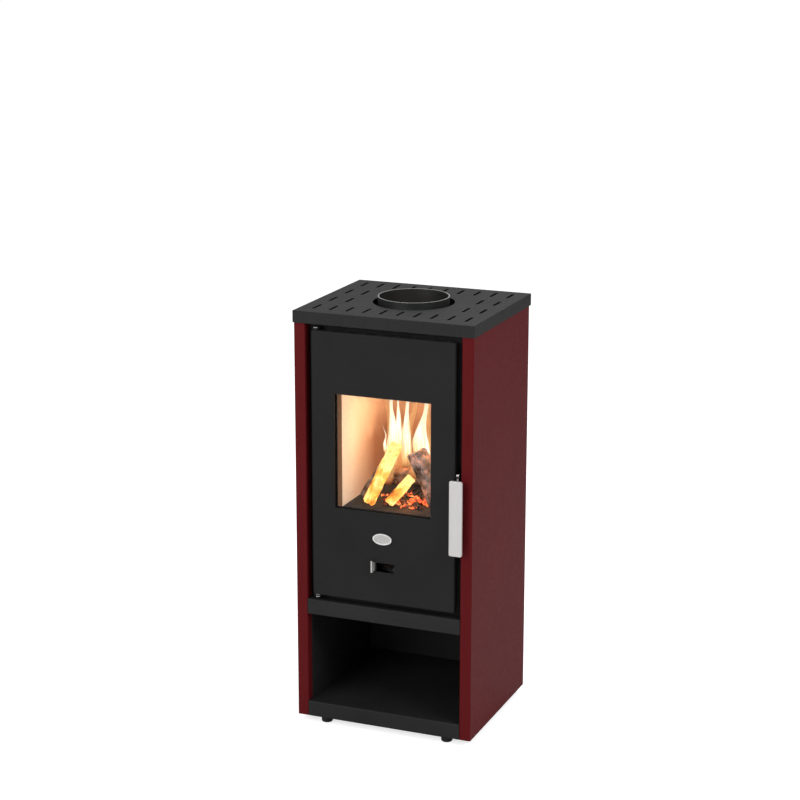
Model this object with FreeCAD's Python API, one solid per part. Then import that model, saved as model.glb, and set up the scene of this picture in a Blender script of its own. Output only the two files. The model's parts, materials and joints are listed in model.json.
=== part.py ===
import FreeCAD, Part

import math
import os

# Small free-standing wood burning stove: a folded steel casing with a log store below, a welded
# firebox lined with fire-resistant board, a glazed door with a lever latch, and an ash pan.
#
# Everything is in millimetres. X runs to the right, Y from the front to the back, Z up from the
# floor. Inside this file a depth (Y) is counted from the casing's front face; save() shifts every
# piece so that the origin ends up on the floor under the middle of the whole stove.

# ---------------------------------------------------------------- casing
CASING_WIDTH = 392.0
CASING_DEPTH = 340.0
CASING_HEIGHT = 883.0  # underside of the side panels to the top plate's upper face
FOOT_HEIGHT = 15.0
FIT_GAP = 0.3  # clearance of a sheet that drops in beside another
PANEL_SHEET = 1.5
PANEL_FLANGE = 24.5
PANEL_RETURN = 24.0
PANEL_BEND = 2.5

# ---------------------------------------------------------------- top plate and flue
PLATE_SHEET = 1.5
PLATE_SKIRT = 25.0
PLATE_CLEARANCE = 0.5
PLATE_REAR_OVERHANG = 5.0
PLATE_EDGE = 1.2
SLOT_LENGTH = 44.0
SLOT_WIDTH = 6.5
SLOT_COLUMNS = 10
SLOT_COLUMN_PITCH = 37.0
SLOT_ROWS = 4
SLOT_ROW_PITCH = 83.0
SLOT_FIRST_ROW = 51.5
SLOT_MARGIN = 12.0  # least metal between a slot and the flue hole
FLUE_RADIUS = 75.0
FLUE_WALL = 2.5
FLUE_STAND = 12.8
FLUE_DEPTH = 171.0
FLUE_FLANGE = 20.0
FLUE_FLANGE_SHEET = 3.0
FLUE_AIR_GAP = 10.5

# ---------------------------------------------------------------- log store and rear
TRAY_HEIGHT = 33.5
TRAY_SHEET = 2.0
TRAY_FOOT_FLANGE = 40.0
TRAY_BEND = 2.5
STORE_WALL = 2.0
STORE_WALL_SETBACK = 20.0
STORE_HEIGHT = 196.8
RAIL_HEIGHT = 33.7
RAIL_SHEET = 1.5
RAIL_BEND = 2.0
SHELF_SHEET = 2.0
REAR_SHEET = 1.5
VENT_WIDTH = 60.0
VENT_HEIGHT = 6.0
VENT_CORNER = 2.9
VENT_COLUMNS = 3
VENT_ROWS = 5
VENT_COLUMN_PITCH = 85.0
VENT_ROW_PITCH = 16.0
VENT_END = 60.0  # from the cover's end to the nearest row

# ---------------------------------------------------------------- screws
SCREW_RADIUS = 2.5
SCREW_HEAD_RADIUS = 4.5
SCREW_HEAD_HEIGHT = 2.4
SCREW_CLEARANCE = 0.1
SCREW_TIP = 3.0  # how far a screw stands through
REAR_SCREWS_LOW = 2
REAR_SCREWS_HIGH = 4
REAR_SCREW_END = 45.0

# ---------------------------------------------------------------- feet
FOOT_RADIUS = 12.0
FOOT_SPACING = 274.0
FOOT_SETBACK = 20.0
FOOT_EDGE = 3.0
STUD_RADIUS = 4.0
STUD_LENGTH = 12.0
STUD_CLEARANCE = 0.3
NUT_FLATS = 13.0
NUT_HEIGHT = 6.5

# ---------------------------------------------------------------- firebox
FRAME_DEPTH = 26.0  # front face of the frame that the door closes on
FRAME_SHEET = 4.0
FRAME_TOP_GAP = 33.0  # from the top plate's upper face
FRAME_BORDER = 30.0  # how far the frame reaches in past the door's edge
BOX_SHEET = 3.0
BOX_HALF_WIDTH = 135.0
BOX_BACK_DEPTH = 318.0
BOX_TOP_GAP = 43.0  # from the top plate's upper face
ASH_FLOOR_LIFT = 42.5  # ash floor above the shelf
BED_LIFT = 160.0  # fire bed above the ash floor
BRICK_THICK = 28.0
BRICK_JOINT = 0.5
LINER_SIDE = 30.0
LINER_BACK = 25.0
LINER_FRONT_GAP = 4.0
LINER_HEIGHT = 348.0
BAFFLE_THICK = 15.0
BAFFLE_SMOKE_GAP = 45.0
GRATE_WIDTH = 120.0
GRATE_LENGTH = 140.0
GRATE_FRONT = 90.0
GRATE_THICK = 14.0
GRATE_RIM = 9.0
GRATE_SLOTS = 6
GRATE_SLOT_WIDTH = 7.0
GRATE_SLOT_END = 16.0

# ---------------------------------------------------------------- door
DOOR_SIDE_GAP = 13.5
DOOR_TOP_GAP = 13.0
DOOR_BOTTOM_GAP = 12.3
DOOR_SHEET = 3.0
DOOR_FOLD = 14.0
DOOR_EDGE = 2.8
DOOR_CORNER = 4.0
WINDOW_WIDTH = 212.0
WINDOW_HEIGHT = 244.0
WINDOW_TOP_MARGIN = 129.0
GLASS_THICK = 4.0
GLASS_OVERLAP = 12.0
GLASS_CORNER = 3.0
TAPE_THICK = 2.0
TAPE_INSET = 2.0
CLIP_SHEET = 1.5
CLIP_WIDTH = 24.0
CLIP_GRIP = 8.0
CLIP_FOOT = 12.0
CLIP_GAP = 1.0
CHANNEL_INSET = 12.0
CHANNEL_WIDTH = 12.5
CHANNEL_DEPTH = 17.0
CHANNEL_WALL = 1.5
CHANNEL_CORNER = 16.0
GROOVE_DEPTH = 8.0
ROPE_SIDE_GAP = 0.3
ROPE_ROUND = 3.5

# ---------------------------------------------------------------- hinges
HINGE_INSET = 8.0  # axis from the door's left edge and from its face
HINGE_PIN_RADIUS = 4.0
HINGE_FIT = 0.05
HINGE_PIN_REACH = 10.0
HINGE_HEAD_RADIUS = 6.0
HINGE_HEAD_HEIGHT = 2.0
HINGE_PLATE = 3.0
HINGE_PLATE_RADIUS = 7.5
HINGE_RUNNING_GAP = 1.0
WASHER_THICK = 0.7
WASHER_RADIUS = 7.0

# ---------------------------------------------------------------- handle and latch
PIVOT_OFFSET = 5.0  # handle pin beyond the door's right edge
PIVOT_DEPTH = 4.0
PIVOT_RADIUS = 2.5
PIVOT_FIT = 0.05
PIVOT_HEAD_RADIUS = 4.0
PIVOT_HEAD_RISE = 2.0
HUB_RADIUS = 4.5
HUB_HEIGHT = 110.0
LUG_SHEET = 3.0
LUG_GAP = 0.7
BAR_WIDTH = 28.0
BAR_HEIGHT = 159.0
BAR_THICK = 5.0
BAR_REACH = 20.0  # bar's front face ahead of the casing
BAR_OVER_DOOR = 5.0
BAR_LIFT = 129.7  # above the door's bottom edge
BAR_CORNER = 4.0
BAR_EDGE = 1.4
LEVER_THICK = 4.0
HOOK_THICK = 3.0
HOOK_HEIGHT = 20.0
HOOK_DOOR_GAP = 0.8
HOOK_GAP = 0.4
HOOK_NOSE = 7.8
HOOK_NOSE_THICK = 3.5
KEEPER_SHEET = 3.0
KEEPER_INSET = 10.0
KEEPER_PAST_DOOR = 0.2
KEEPER_HEIGHT = 30.0
KEEPER_STAND = 10.0  # strike's front face ahead of the frame

# ---------------------------------------------------------------- air slide
AIR_SLOT_WIDTH = 52.0
AIR_SLOT_HEIGHT = 20.0
AIR_SLOT_LIFT = 68.0  # above the door's bottom edge
AIR_TRAVEL = 43.0
SHUTTER_SHEET = 2.0
SHUTTER_GAP = 0.3
SHUTTER_LAP = 8.0
SHUTTER_CLOSED_LAP = 7.0
SHUTTER_ROOT = 10.0  # solid strip of the shutter that shows beside its window
SHUTTER_WINDOW_LAP = 1.0
TAB_THICK = 3.0
TAB_REACH = 12.0
TAB_FLARE = 6.5
TAB_INSET = 4.0
TAB_SLOT_GAP = 0.6
TAB_EDGE = 1.0
GUIDE_WALL = 4.5
GUIDE_LIP = 1.3
GUIDE_COVER = 3.0
GUIDE_END = 4.0

# ---------------------------------------------------------------- badge
BADGE_WIDTH = 42.0
BADGE_HEIGHT = 24.0
BADGE_THICK = 2.0
BADGE_RIM = 2.6
BADGE_RIM_RISE = 0.8
BADGE_LIFT = 140.5  # above the door's bottom edge

# ---------------------------------------------------------------- ash pan
PAN_WIDTH = 200.0
PAN_FRONT = 56.0
PAN_LENGTH = 224.0
PAN_HEIGHT = 35.0
PAN_SHEET = 1.5
PAN_PULL_WIDTH = 60.0
PAN_PULL_REACH = 8.0
PAN_PULL_LIP = 8.0
PAN_SIDE_GAP = 1.5
RUNNER_THICK = 3.0
RUNNER_HEIGHT = 18.0
RUNNER_FRONT = 45.0

# ---------------------------------------------------------------- fuel: split logs on the fire bed
# each log: foot point, head point and radius; heights are above the fire bed
LOGS = (
    ((-72.0, 56.0, 18.0), (-34.0, 140.0, 106.0), 17.0),
    ((-34.0, 60.0, 18.0), (-6.0, 112.0, 118.0), 17.0),
    ((2.0, 76.0, 14.0), (32.0, 108.0, 52.0), 13.0),
    ((80.0, 80.0, 24.0), (36.0, 110.0, 100.0), 23.0),
    ((-82.0, 236.0, 16.0), (82.0, 236.0, 16.0), 24.0),
)
LOG_SPLIT_ANGLE = 120.0
LOG_REST_GAP = 0.2

# ---------------------------------------------------------------- worked out from the above
FRONT_SHIFT = (BAR_REACH - CASING_DEPTH - PLATE_REAR_OVERHANG) / 2
PLATE_TOP = FOOT_HEIGHT + CASING_HEIGHT
PLATE_UNDER = PLATE_TOP - PLATE_SHEET
SKIRT_BOTTOM = PLATE_TOP - PLATE_SKIRT
HALF_CASING = CASING_WIDTH / 2
OPEN_HALF = HALF_CASING - PANEL_FLANGE  # half the space between the two front folds
REAR_FOLD = CASING_DEPTH - PANEL_SHEET
REAR_INNER = REAR_FOLD - REAR_SHEET
RAIL_RETURN = STORE_WALL_SETBACK - FIT_GAP
TRAY_TOP = FOOT_HEIGHT + TRAY_HEIGHT
RAIL_BOTTOM = TRAY_TOP + STORE_HEIGHT
RAIL_TOP = RAIL_BOTTOM + RAIL_HEIGHT
SHELF_TOP = RAIL_TOP - RAIL_SHEET
SHELF_UNDER = SHELF_TOP - SHELF_SHEET
FRAME_BACK = FRAME_DEPTH + FRAME_SHEET
FRAME_TOP = PLATE_TOP - FRAME_TOP_GAP
BOX_TOP = PLATE_TOP - BOX_TOP_GAP
BOX_UNDER_TOP = BOX_TOP - BOX_SHEET
BOX_BACK_FACE = BOX_BACK_DEPTH - BOX_SHEET
FLANGE_TOP = BOX_TOP + FLUE_FLANGE_SHEET
ASH_FLOOR = SHELF_TOP + ASH_FLOOR_LIFT
BED_LEVEL = ASH_FLOOR + BED_LIFT
GRATE_SHELF = BED_LEVEL - BRICK_THICK
LINER_TOP = GRATE_SHELF + LINER_HEIGHT
LINER_FRONT = FRAME_BACK + LINER_FRONT_GAP
BACK_LINER_FACE = BOX_BACK_FACE - LINER_BACK
FIRE_HALF = BOX_HALF_WIDTH - LINER_SIDE
GRATE_HALF = GRATE_WIDTH / 2
GRATE_BACK = GRATE_FRONT + GRATE_LENGTH
DOOR_HALF = OPEN_HALF - DOOR_SIDE_GAP
DOOR_BOTTOM = RAIL_TOP + DOOR_BOTTOM_GAP
DOOR_TOP = SKIRT_BOTTOM - DOOR_TOP_GAP
WINDOW_TOP = DOOR_TOP - WINDOW_TOP_MARGIN
WINDOW_BOTTOM = WINDOW_TOP - WINDOW_HEIGHT
WINDOW_LEVEL = (WINDOW_TOP + WINDOW_BOTTOM) / 2
GLASS_FACE = DOOR_SHEET + TAPE_THICK
GLASS_BACK = GLASS_FACE + GLASS_THICK
GLASS_HALF = WINDOW_WIDTH / 2 + GLASS_OVERLAP
CLIP_BACK = GLASS_BACK + CLIP_SHEET
CHANNEL_HALF = DOOR_HALF - CHANNEL_INSET
CHANNEL_BACK = DOOR_SHEET + CHANNEL_DEPTH
CHANNEL_LEVELS = (DOOR_BOTTOM + CHANNEL_INSET, DOOR_TOP - CHANNEL_INSET)
HINGE_X = HINGE_INSET - DOOR_HALF
PIVOT_X = DOOR_HALF + PIVOT_OFFSET
LUG_RADIUS = PIVOT_OFFSET
BAR_BOTTOM = DOOR_BOTTOM + BAR_LIFT
BAR_TOP = BAR_BOTTOM + BAR_HEIGHT
BAR_BACK = BAR_THICK - BAR_REACH
LATCH_LEVEL = BAR_BOTTOM + BAR_HEIGHT / 2
STRIKE_FACE = FRAME_DEPTH - KEEPER_STAND
STRIKE_BACK = STRIKE_FACE + KEEPER_SHEET
AIR_SLOT_HALF = AIR_SLOT_WIDTH / 2
AIR_SLOT_BOTTOM = DOOR_BOTTOM + AIR_SLOT_LIFT
AIR_SLOT_TOP = AIR_SLOT_BOTTOM + AIR_SLOT_HEIGHT
SHUTTER_FACE = DOOR_SHEET + SHUTTER_GAP
SHUTTER_BACK = SHUTTER_FACE + SHUTTER_SHEET
SHUTTER_LEFT = -AIR_SLOT_HALF - AIR_TRAVEL - SHUTTER_CLOSED_LAP
SHUTTER_RIGHT = AIR_SLOT_HALF + SHUTTER_LAP
PAN_BOTTOM = ASH_FLOOR + FIT_GAP


# ==================================================================== helpers
def block(x, y, z):
    """Return a box from three (low, high) pairs."""
    corner = FreeCAD.Vector(x[0], y[0], z[0])
    return Part.makeBox(x[1] - x[0], y[1] - y[0], z[1] - z[0], corner)


def centred(half):
    """Return the (low, high) pair of a size centred on X = 0."""
    return (-half, half)


def rod(x, y, z, radius):
    """Return an upright cylinder; z is a (low, high) pair."""
    return Part.makeCylinder(radius, z[1] - z[0], FreeCAD.Vector(x, y, z[0]))


def rod_along_depth(x, y, z, radius):
    """Return a cylinder that lies along Y; y is a (low, high) pair."""
    start = FreeCAD.Vector(x, y[0], z)
    return Part.makeCylinder(radius, y[1] - y[0], start, FreeCAD.Vector(0, 1, 0))


def near(value, target):
    """Tell whether two coordinates are the same."""
    return abs(value - target) < 0.001


def rounded(shape, radius, test):
    """Round the edges whose two ends both pass the test."""
    edges = [edge for edge in shape.Edges if all(test(v.Point) for v in edge.Vertexes)]
    return shape.makeFillet(radius, edges)


def joined(*pieces):
    """Fuse touching pieces into one clean solid."""
    return pieces[0].fuse(list(pieces[1:])).removeSplitter()


def mirrored(shape):
    """Return the shape's mirror image in the plane X = 0."""
    return shape.mirror(FreeCAD.Vector(0, 0, 0), FreeCAD.Vector(1, 0, 0))


def rounded_plate(x, y, z, corner):
    """Return an upright plate whose four corners, seen from the front, are round."""
    plate = block(x, y, z)
    across = [edge for edge in plate.Edges
              if not near(edge.Vertexes[0].Point.y, edge.Vertexes[1].Point.y)]
    return plate.makeFillet(corner, across)


def ring(x, y, z, band, corner):
    """Return an upright ring with round outer corners and a band of one width."""
    hole_x = (x[0] + band, x[1] - band)
    hole_z = (z[0] + band, z[1] - band)
    outer = rounded_plate(x, y, z, corner)
    if corner > band:
        return outer.cut(rounded_plate(hole_x, y, hole_z, corner - band))
    return outer.cut(block(hole_x, y, hole_z))


def slot_cutter(x, y, z, length, width, height):
    """Return a round-ended upright cutter centred on x and y, long along Y."""
    half = (length - width) / 2
    middle = block((x - width / 2, x + width / 2), (y - half, y + half), (z, z + height))
    ends = [rod(x, y + side * half, (z, z + height), width / 2) for side in (-1, 1)]
    return joined(middle, *ends)


def save(name, pieces):
    """Write one node: a piece, or a group of separate pieces of the same kind."""
    group = pieces if isinstance(pieces, list) else [pieces]
    shape = Part.makeCompound(group) if len(group) > 1 else group[0].copy()
    shape.translate(FreeCAD.Vector(0, FRONT_SHIFT, 0))
    shape.exportStep("parts/" + name + ".step")


# ==================================================================== casing
def rear_screw_places():
    """Return the (x, z) of every screw that holds the rear sheets to the side panels."""
    low = (FOOT_HEIGHT + REAR_SCREW_END, SHELF_TOP - REAR_SCREW_END)
    high = (SHELF_TOP + REAR_SCREW_END, FRAME_TOP - REAR_SCREW_END)
    levels = []
    for span, count in ((low, REAR_SCREWS_LOW), (high, REAR_SCREWS_HIGH)):
        step = (span[1] - span[0]) / (count - 1)
        levels += [span[0] + step * index for index in range(count)]
    across = OPEN_HALF + PANEL_FLANGE / 2
    return [(side * across, level) for side in (-1, 1) for level in levels]


def without_rear_screw_holes(sheet):
    """Return the sheet with a clearance hole for each rear screw that meets it."""
    for x, z in rear_screw_places():
        reach = (REAR_INNER - SCREW_TIP, CASING_DEPTH + SCREW_TIP)
        sheet = sheet.cut(rod_along_depth(x, reach, z, SCREW_RADIUS + SCREW_CLEARANCE))
    return sheet


def side_panel():
    """Return the right-hand panel: one sheet folded in at the front and at the back."""
    height = (FOOT_HEIGHT, PLATE_UNDER)
    outer = block((OPEN_HALF, HALF_CASING), (0, CASING_DEPTH), height)
    hollow = block((OPEN_HALF, HALF_CASING - PANEL_SHEET), (PANEL_SHEET, REAR_FOLD), height)
    inner_return = block((OPEN_HALF, OPEN_HALF + PANEL_SHEET), (0, PANEL_RETURN), height)
    panel = joined(outer.cut(hollow), inner_return)
    corners = ((HALF_CASING, 0), (HALF_CASING, CASING_DEPTH), (OPEN_HALF, 0))
    for x, y in corners:
        panel = rounded(panel, PANEL_BEND, lambda p: near(p.x, x) and near(p.y, y))
    return without_rear_screw_holes(panel)


def top_plate():
    """Return the lid: a shallow folded tray with air slots and the flue hole."""
    side = HALF_CASING + PLATE_CLEARANCE
    front = -PLATE_CLEARANCE
    back = CASING_DEPTH + PLATE_REAR_OVERHANG - PLATE_SHEET
    outer = block(centred(side + PLATE_SHEET), (front - PLATE_SHEET, back + PLATE_SHEET),
                  (SKIRT_BOTTOM, PLATE_TOP))
    upright = [edge for edge in outer.Edges
               if not near(edge.Vertexes[0].Point.z, edge.Vertexes[1].Point.z)]
    outer = outer.makeFillet(PLATE_EDGE, upright)
    outer = rounded(outer, PLATE_EDGE, lambda p: near(p.z, PLATE_TOP))
    plate = outer.cut(block(centred(side), (front, back), (SKIRT_BOTTOM, PLATE_UNDER)))
    plate = plate.cut(rod(0, FLUE_DEPTH, (PLATE_UNDER, PLATE_TOP), FLUE_RADIUS + FLUE_AIR_GAP))
    for x, y in air_slot_places():
        cutter = slot_cutter(x, y, PLATE_UNDER, SLOT_LENGTH, SLOT_WIDTH, PLATE_SHEET)
        plate = plate.cut(cutter)
    return plate


def air_slot_places():
    """Return the centre of each slot of the top plate's grid that clears the flue hole."""
    clear_radius = FLUE_RADIUS + FLUE_AIR_GAP + SLOT_MARGIN
    places = []
    for column in range(SLOT_COLUMNS):
        x = (column - (SLOT_COLUMNS - 1) / 2) * SLOT_COLUMN_PITCH
        for row in range(SLOT_ROWS):
            y = SLOT_FIRST_ROW + row * SLOT_ROW_PITCH
            aside = max(abs(x) - SLOT_WIDTH / 2, 0)
            along = max(abs(y - FLUE_DEPTH) - SLOT_LENGTH / 2, 0)
            if math.hypot(aside, along) > clear_radius:
                places.append((x, y))
    return places


def front_rail():
    """Return the folded rail between the log store and the door."""
    across = centred(OPEN_HALF - FIT_GAP)
    web = block(across, (0, RAIL_SHEET), (RAIL_BOTTOM, RAIL_TOP))
    low = block(across, (0, RAIL_RETURN), (RAIL_BOTTOM, RAIL_BOTTOM + RAIL_SHEET))
    high = block(across, (0, RAIL_RETURN), (RAIL_TOP - RAIL_SHEET, RAIL_TOP))
    rail = joined(web, low, high)
    for level in (RAIL_BOTTOM, RAIL_TOP):
        rail = rounded(rail, RAIL_BEND, lambda p: near(p.y, 0) and near(p.z, level))
    return rail


def base_tray():
    """Return the log store's floor, folded down all round and in again over the feet."""
    half = OPEN_HALF - FIT_GAP
    outer = block(centred(half), (0, REAR_INNER), (FOOT_HEIGHT, TRAY_TOP))
    outer = rounded(outer, TRAY_BEND, lambda p: near(p.y, 0) and near(p.z, TRAY_TOP))
    inner = block(centred(half - TRAY_SHEET), (TRAY_SHEET, REAR_INNER - TRAY_SHEET),
                  (FOOT_HEIGHT + TRAY_SHEET, TRAY_TOP - TRAY_SHEET))
    mouth = block(centred(half - TRAY_SHEET), (TRAY_FOOT_FLANGE, REAR_INNER - TRAY_FOOT_FLANGE),
                  (FOOT_HEIGHT, FOOT_HEIGHT + TRAY_SHEET))
    tray = outer.cut(inner).cut(mouth)
    for x, y in foot_places():
        hole = rod(x, y, (FOOT_HEIGHT, FOOT_HEIGHT + TRAY_SHEET), STUD_RADIUS + STUD_CLEARANCE)
        tray = tray.cut(hole)
    return tray


def store_wall():
    """Return the log store's right-hand wall."""
    return block((OPEN_HALF - STORE_WALL, OPEN_HALF), (STORE_WALL_SETBACK, REAR_INNER),
                 (TRAY_TOP, SHELF_UNDER))


def store_back():
    """Return the sheet that closes the log store at the back."""
    half = HALF_CASING - PANEL_SHEET - FIT_GAP
    sheet = block(centred(half), (REAR_INNER, REAR_FOLD), (FOOT_HEIGHT, SHELF_TOP - FIT_GAP))
    return without_rear_screw_holes(sheet)


def firebox_shelf():
    """Return the sheet that roofs the log store and carries the firebox."""
    return block(centred(OPEN_HALF - FIT_GAP), (RAIL_SHEET + FIT_GAP, REAR_INNER),
                 (SHELF_UNDER, SHELF_TOP))


def rear_cover():
    """Return the vented sheet behind the firebox."""
    half = HALF_CASING - PANEL_SHEET - FIT_GAP
    levels = (SHELF_TOP + FIT_GAP, PLATE_UNDER - FIT_GAP)
    sheet = block(centred(half), (REAR_INNER, REAR_FOLD), levels)
    for column in range(VENT_COLUMNS):
        x = (column - (VENT_COLUMNS - 1) / 2) * VENT_COLUMN_PITCH
        for row in range(VENT_ROWS):
            for z in (levels[0] + VENT_END + row * VENT_ROW_PITCH,
                      levels[1] - VENT_END - row * VENT_ROW_PITCH):
                cutter = rounded_plate((x - VENT_WIDTH / 2, x + VENT_WIDTH / 2),
                                       (REAR_INNER, REAR_FOLD),
                                       (z - VENT_HEIGHT / 2, z + VENT_HEIGHT / 2),
                                       VENT_CORNER)
                sheet = sheet.cut(cutter)
    return without_rear_screw_holes(sheet)


def rear_screw(x, z):
    """Return one button-headed screw of the rear sheets."""
    shank = rod_along_depth(x, (REAR_INNER - SCREW_TIP, CASING_DEPTH), z, SCREW_RADIUS)
    head = rod_along_depth(x, (CASING_DEPTH, CASING_DEPTH + SCREW_HEAD_HEIGHT), z,
                           SCREW_HEAD_RADIUS)
    outer_end = CASING_DEPTH + SCREW_HEAD_HEIGHT
    head = rounded(head, SCREW_HEAD_HEIGHT / 2, lambda p: near(p.y, outer_end))
    return joined(shank, head)


# ==================================================================== feet
def foot_places():
    """Return the (x, y) of the four feet."""
    return [(side * FOOT_SPACING / 2, depth) for side in (-1, 1)
            for depth in (FOOT_SETBACK, REAR_INNER - FOOT_SETBACK)]


def foot(x, y):
    """Return one round foot with its threaded stud."""
    pad = rod(x, y, (0, FOOT_HEIGHT), FOOT_RADIUS)
    pad = rounded(pad, FOOT_EDGE, lambda p: near(p.z, 0))
    return joined(pad, rod(x, y, (FOOT_HEIGHT, FOOT_HEIGHT + STUD_LENGTH), STUD_RADIUS))


def foot_nut(x, y):
    """Return the hexagon nut on a foot's stud."""
    low = FOOT_HEIGHT + TRAY_SHEET
    reach = NUT_FLATS / math.sqrt(3)
    corners = [FreeCAD.Vector(x + reach * math.cos(math.radians(60 * index)),
                              y + reach * math.sin(math.radians(60 * index)), low)
               for index in range(6)]
    outline = Part.makePolygon(corners + corners[:1])
    nut = Part.Face(outline).extrude(FreeCAD.Vector(0, 0, NUT_HEIGHT))
    return nut.cut(rod(x, y, (low, low + NUT_HEIGHT), STUD_RADIUS + STUD_CLEARANCE / 2))


# ==================================================================== firebox
def front_frame():
    """Return the flat frame that the door's rope closes on."""
    sheet = block(centred(OPEN_HALF - FIT_GAP), (FRAME_DEPTH, FRAME_BACK), (SHELF_TOP, FRAME_TOP))
    return sheet.cut(block(centred(DOOR_HALF - FRAME_BORDER), (FRAME_DEPTH, FRAME_BACK),
                           (ASH_FLOOR, DOOR_TOP - FRAME_BORDER)))


def firebox_side():
    """Return the firebox's right-hand wall."""
    return block((BOX_HALF_WIDTH, BOX_HALF_WIDTH + BOX_SHEET), (FRAME_BACK, BOX_BACK_DEPTH),
                 (SHELF_TOP, BOX_UNDER_TOP))


def firebox_back():
    """Return the firebox's back wall."""
    return block(centred(BOX_HALF_WIDTH), (BOX_BACK_FACE, BOX_BACK_DEPTH),
                 (SHELF_TOP, BOX_UNDER_TOP))


def ash_floor():
    """Return the floor that the ash pan slides on."""
    return block(centred(BOX_HALF_WIDTH), (FRAME_BACK, BOX_BACK_FACE),
                 (ASH_FLOOR - BOX_SHEET, ASH_FLOOR))


def firebox_top():
    """Return the firebox's roof with the flue opening."""
    sheet = block(centred(BOX_HALF_WIDTH + BOX_SHEET), (FRAME_BACK, BOX_BACK_DEPTH),
                  (BOX_UNDER_TOP, BOX_TOP))
    return sheet.cut(rod(0, FLUE_DEPTH, (BOX_UNDER_TOP, BOX_TOP), FLUE_RADIUS - FLUE_WALL))


def flue_ring(level, radius):
    """Return a ring round the flue way; level is its (low, high) pair."""
    disc = rod(0, FLUE_DEPTH, level, radius)
    return disc.cut(rod(0, FLUE_DEPTH, level, FLUE_RADIUS - FLUE_WALL))


def flue_flange():
    """Return the flat ring that is welded to the firebox's roof under the collar."""
    return flue_ring((BOX_TOP, FLANGE_TOP), FLUE_RADIUS + FLUE_FLANGE)


def flue_collar():
    """Return the collar that the flue pipe goes on."""
    return flue_ring((FLANGE_TOP, PLATE_TOP + FLUE_STAND), FLUE_RADIUS)


def grate_shelf():
    """Return the sheet that carries the bricks and the grate."""
    sheet = block(centred(BOX_HALF_WIDTH), (FRAME_BACK, BOX_BACK_FACE),
                  (GRATE_SHELF - BOX_SHEET, GRATE_SHELF))
    opening = block(centred(GRATE_HALF - GRATE_RIM),
                    (GRATE_FRONT + GRATE_RIM, GRATE_BACK - GRATE_RIM),
                    (GRATE_SHELF - BOX_SHEET, GRATE_SHELF))
    return sheet.cut(opening)


def grate():
    """Return the cast grate: a slotted plate on a rim."""
    across = centred(GRATE_HALF - FIT_GAP)
    along = (GRATE_FRONT + FIT_GAP, GRATE_BACK - FIT_GAP)
    body = block(across, along, (GRATE_SHELF, BED_LEVEL))
    under = block((across[0] + GRATE_RIM, across[1] - GRATE_RIM),
                  (along[0] + GRATE_RIM, along[1] - GRATE_RIM),
                  (GRATE_SHELF, BED_LEVEL - GRATE_THICK))
    body = body.cut(under)
    pitch = (GRATE_WIDTH - 2 * GRATE_RIM) / GRATE_SLOTS
    length = GRATE_LENGTH - 2 * GRATE_SLOT_END
    for index in range(GRATE_SLOTS):
        x = (index - (GRATE_SLOTS - 1) / 2) * pitch
        middle = (GRATE_FRONT + GRATE_BACK) / 2
        cutter = slot_cutter(x, middle, BED_LEVEL - GRATE_THICK, length, GRATE_SLOT_WIDTH,
                             GRATE_THICK)
        body = body.cut(cutter)
    return body


def bed_bricks():
    """Return the four bricks round the grate."""
    level = (GRATE_SHELF, BED_LEVEL)
    across = centred(FIRE_HALF)
    beside = (GRATE_FRONT + BRICK_JOINT, GRATE_BACK - BRICK_JOINT)
    front = block(across, (LINER_FRONT, GRATE_FRONT), level)
    back = block(across, (GRATE_BACK, BACK_LINER_FACE), level)
    right = block((GRATE_HALF, FIRE_HALF), beside, level)
    return [front, back, right, mirrored(right)]


def side_liner():
    """Return the right-hand liner board."""
    return block((FIRE_HALF, BOX_HALF_WIDTH), (LINER_FRONT, BACK_LINER_FACE),
                 (GRATE_SHELF, LINER_TOP))


def back_liner():
    """Return the back liner board."""
    return block(centred(BOX_HALF_WIDTH), (BACK_LINER_FACE, BOX_BACK_FACE),
                 (GRATE_SHELF, LINER_TOP))


def baffle_plate():
    """Return the board that lies on the liners and turns the smoke forward."""
    return block(centred(BOX_HALF_WIDTH - BRICK_JOINT),
                 (FRAME_BACK + BAFFLE_SMOKE_GAP, BOX_BACK_FACE - BRICK_JOINT),
                 (LINER_TOP, LINER_TOP + BAFFLE_THICK))


def pan_runner():
    """Return the upright strip that guides the ash pan on the right."""
    inner = PAN_WIDTH / 2 + PAN_SIDE_GAP
    return block((inner, inner + RUNNER_THICK), (RUNNER_FRONT, BOX_BACK_FACE - LINER_BACK),
                 (ASH_FLOOR, ASH_FLOOR + RUNNER_HEIGHT))


def split_log(foot_point, head_point, radius):
    """Return one split log whose lowest corner lies on the fire bed."""
    start = FreeCAD.Vector(*foot_point)
    run = FreeCAD.Vector(*head_point).sub(start)
    log = Part.makeCylinder(radius, run.Length, start, run, LOG_SPLIT_ANGLE)
    log.translate(FreeCAD.Vector(0, 0, BED_LEVEL + LOG_REST_GAP - log.BoundBox.ZMin))
    return log


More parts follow.
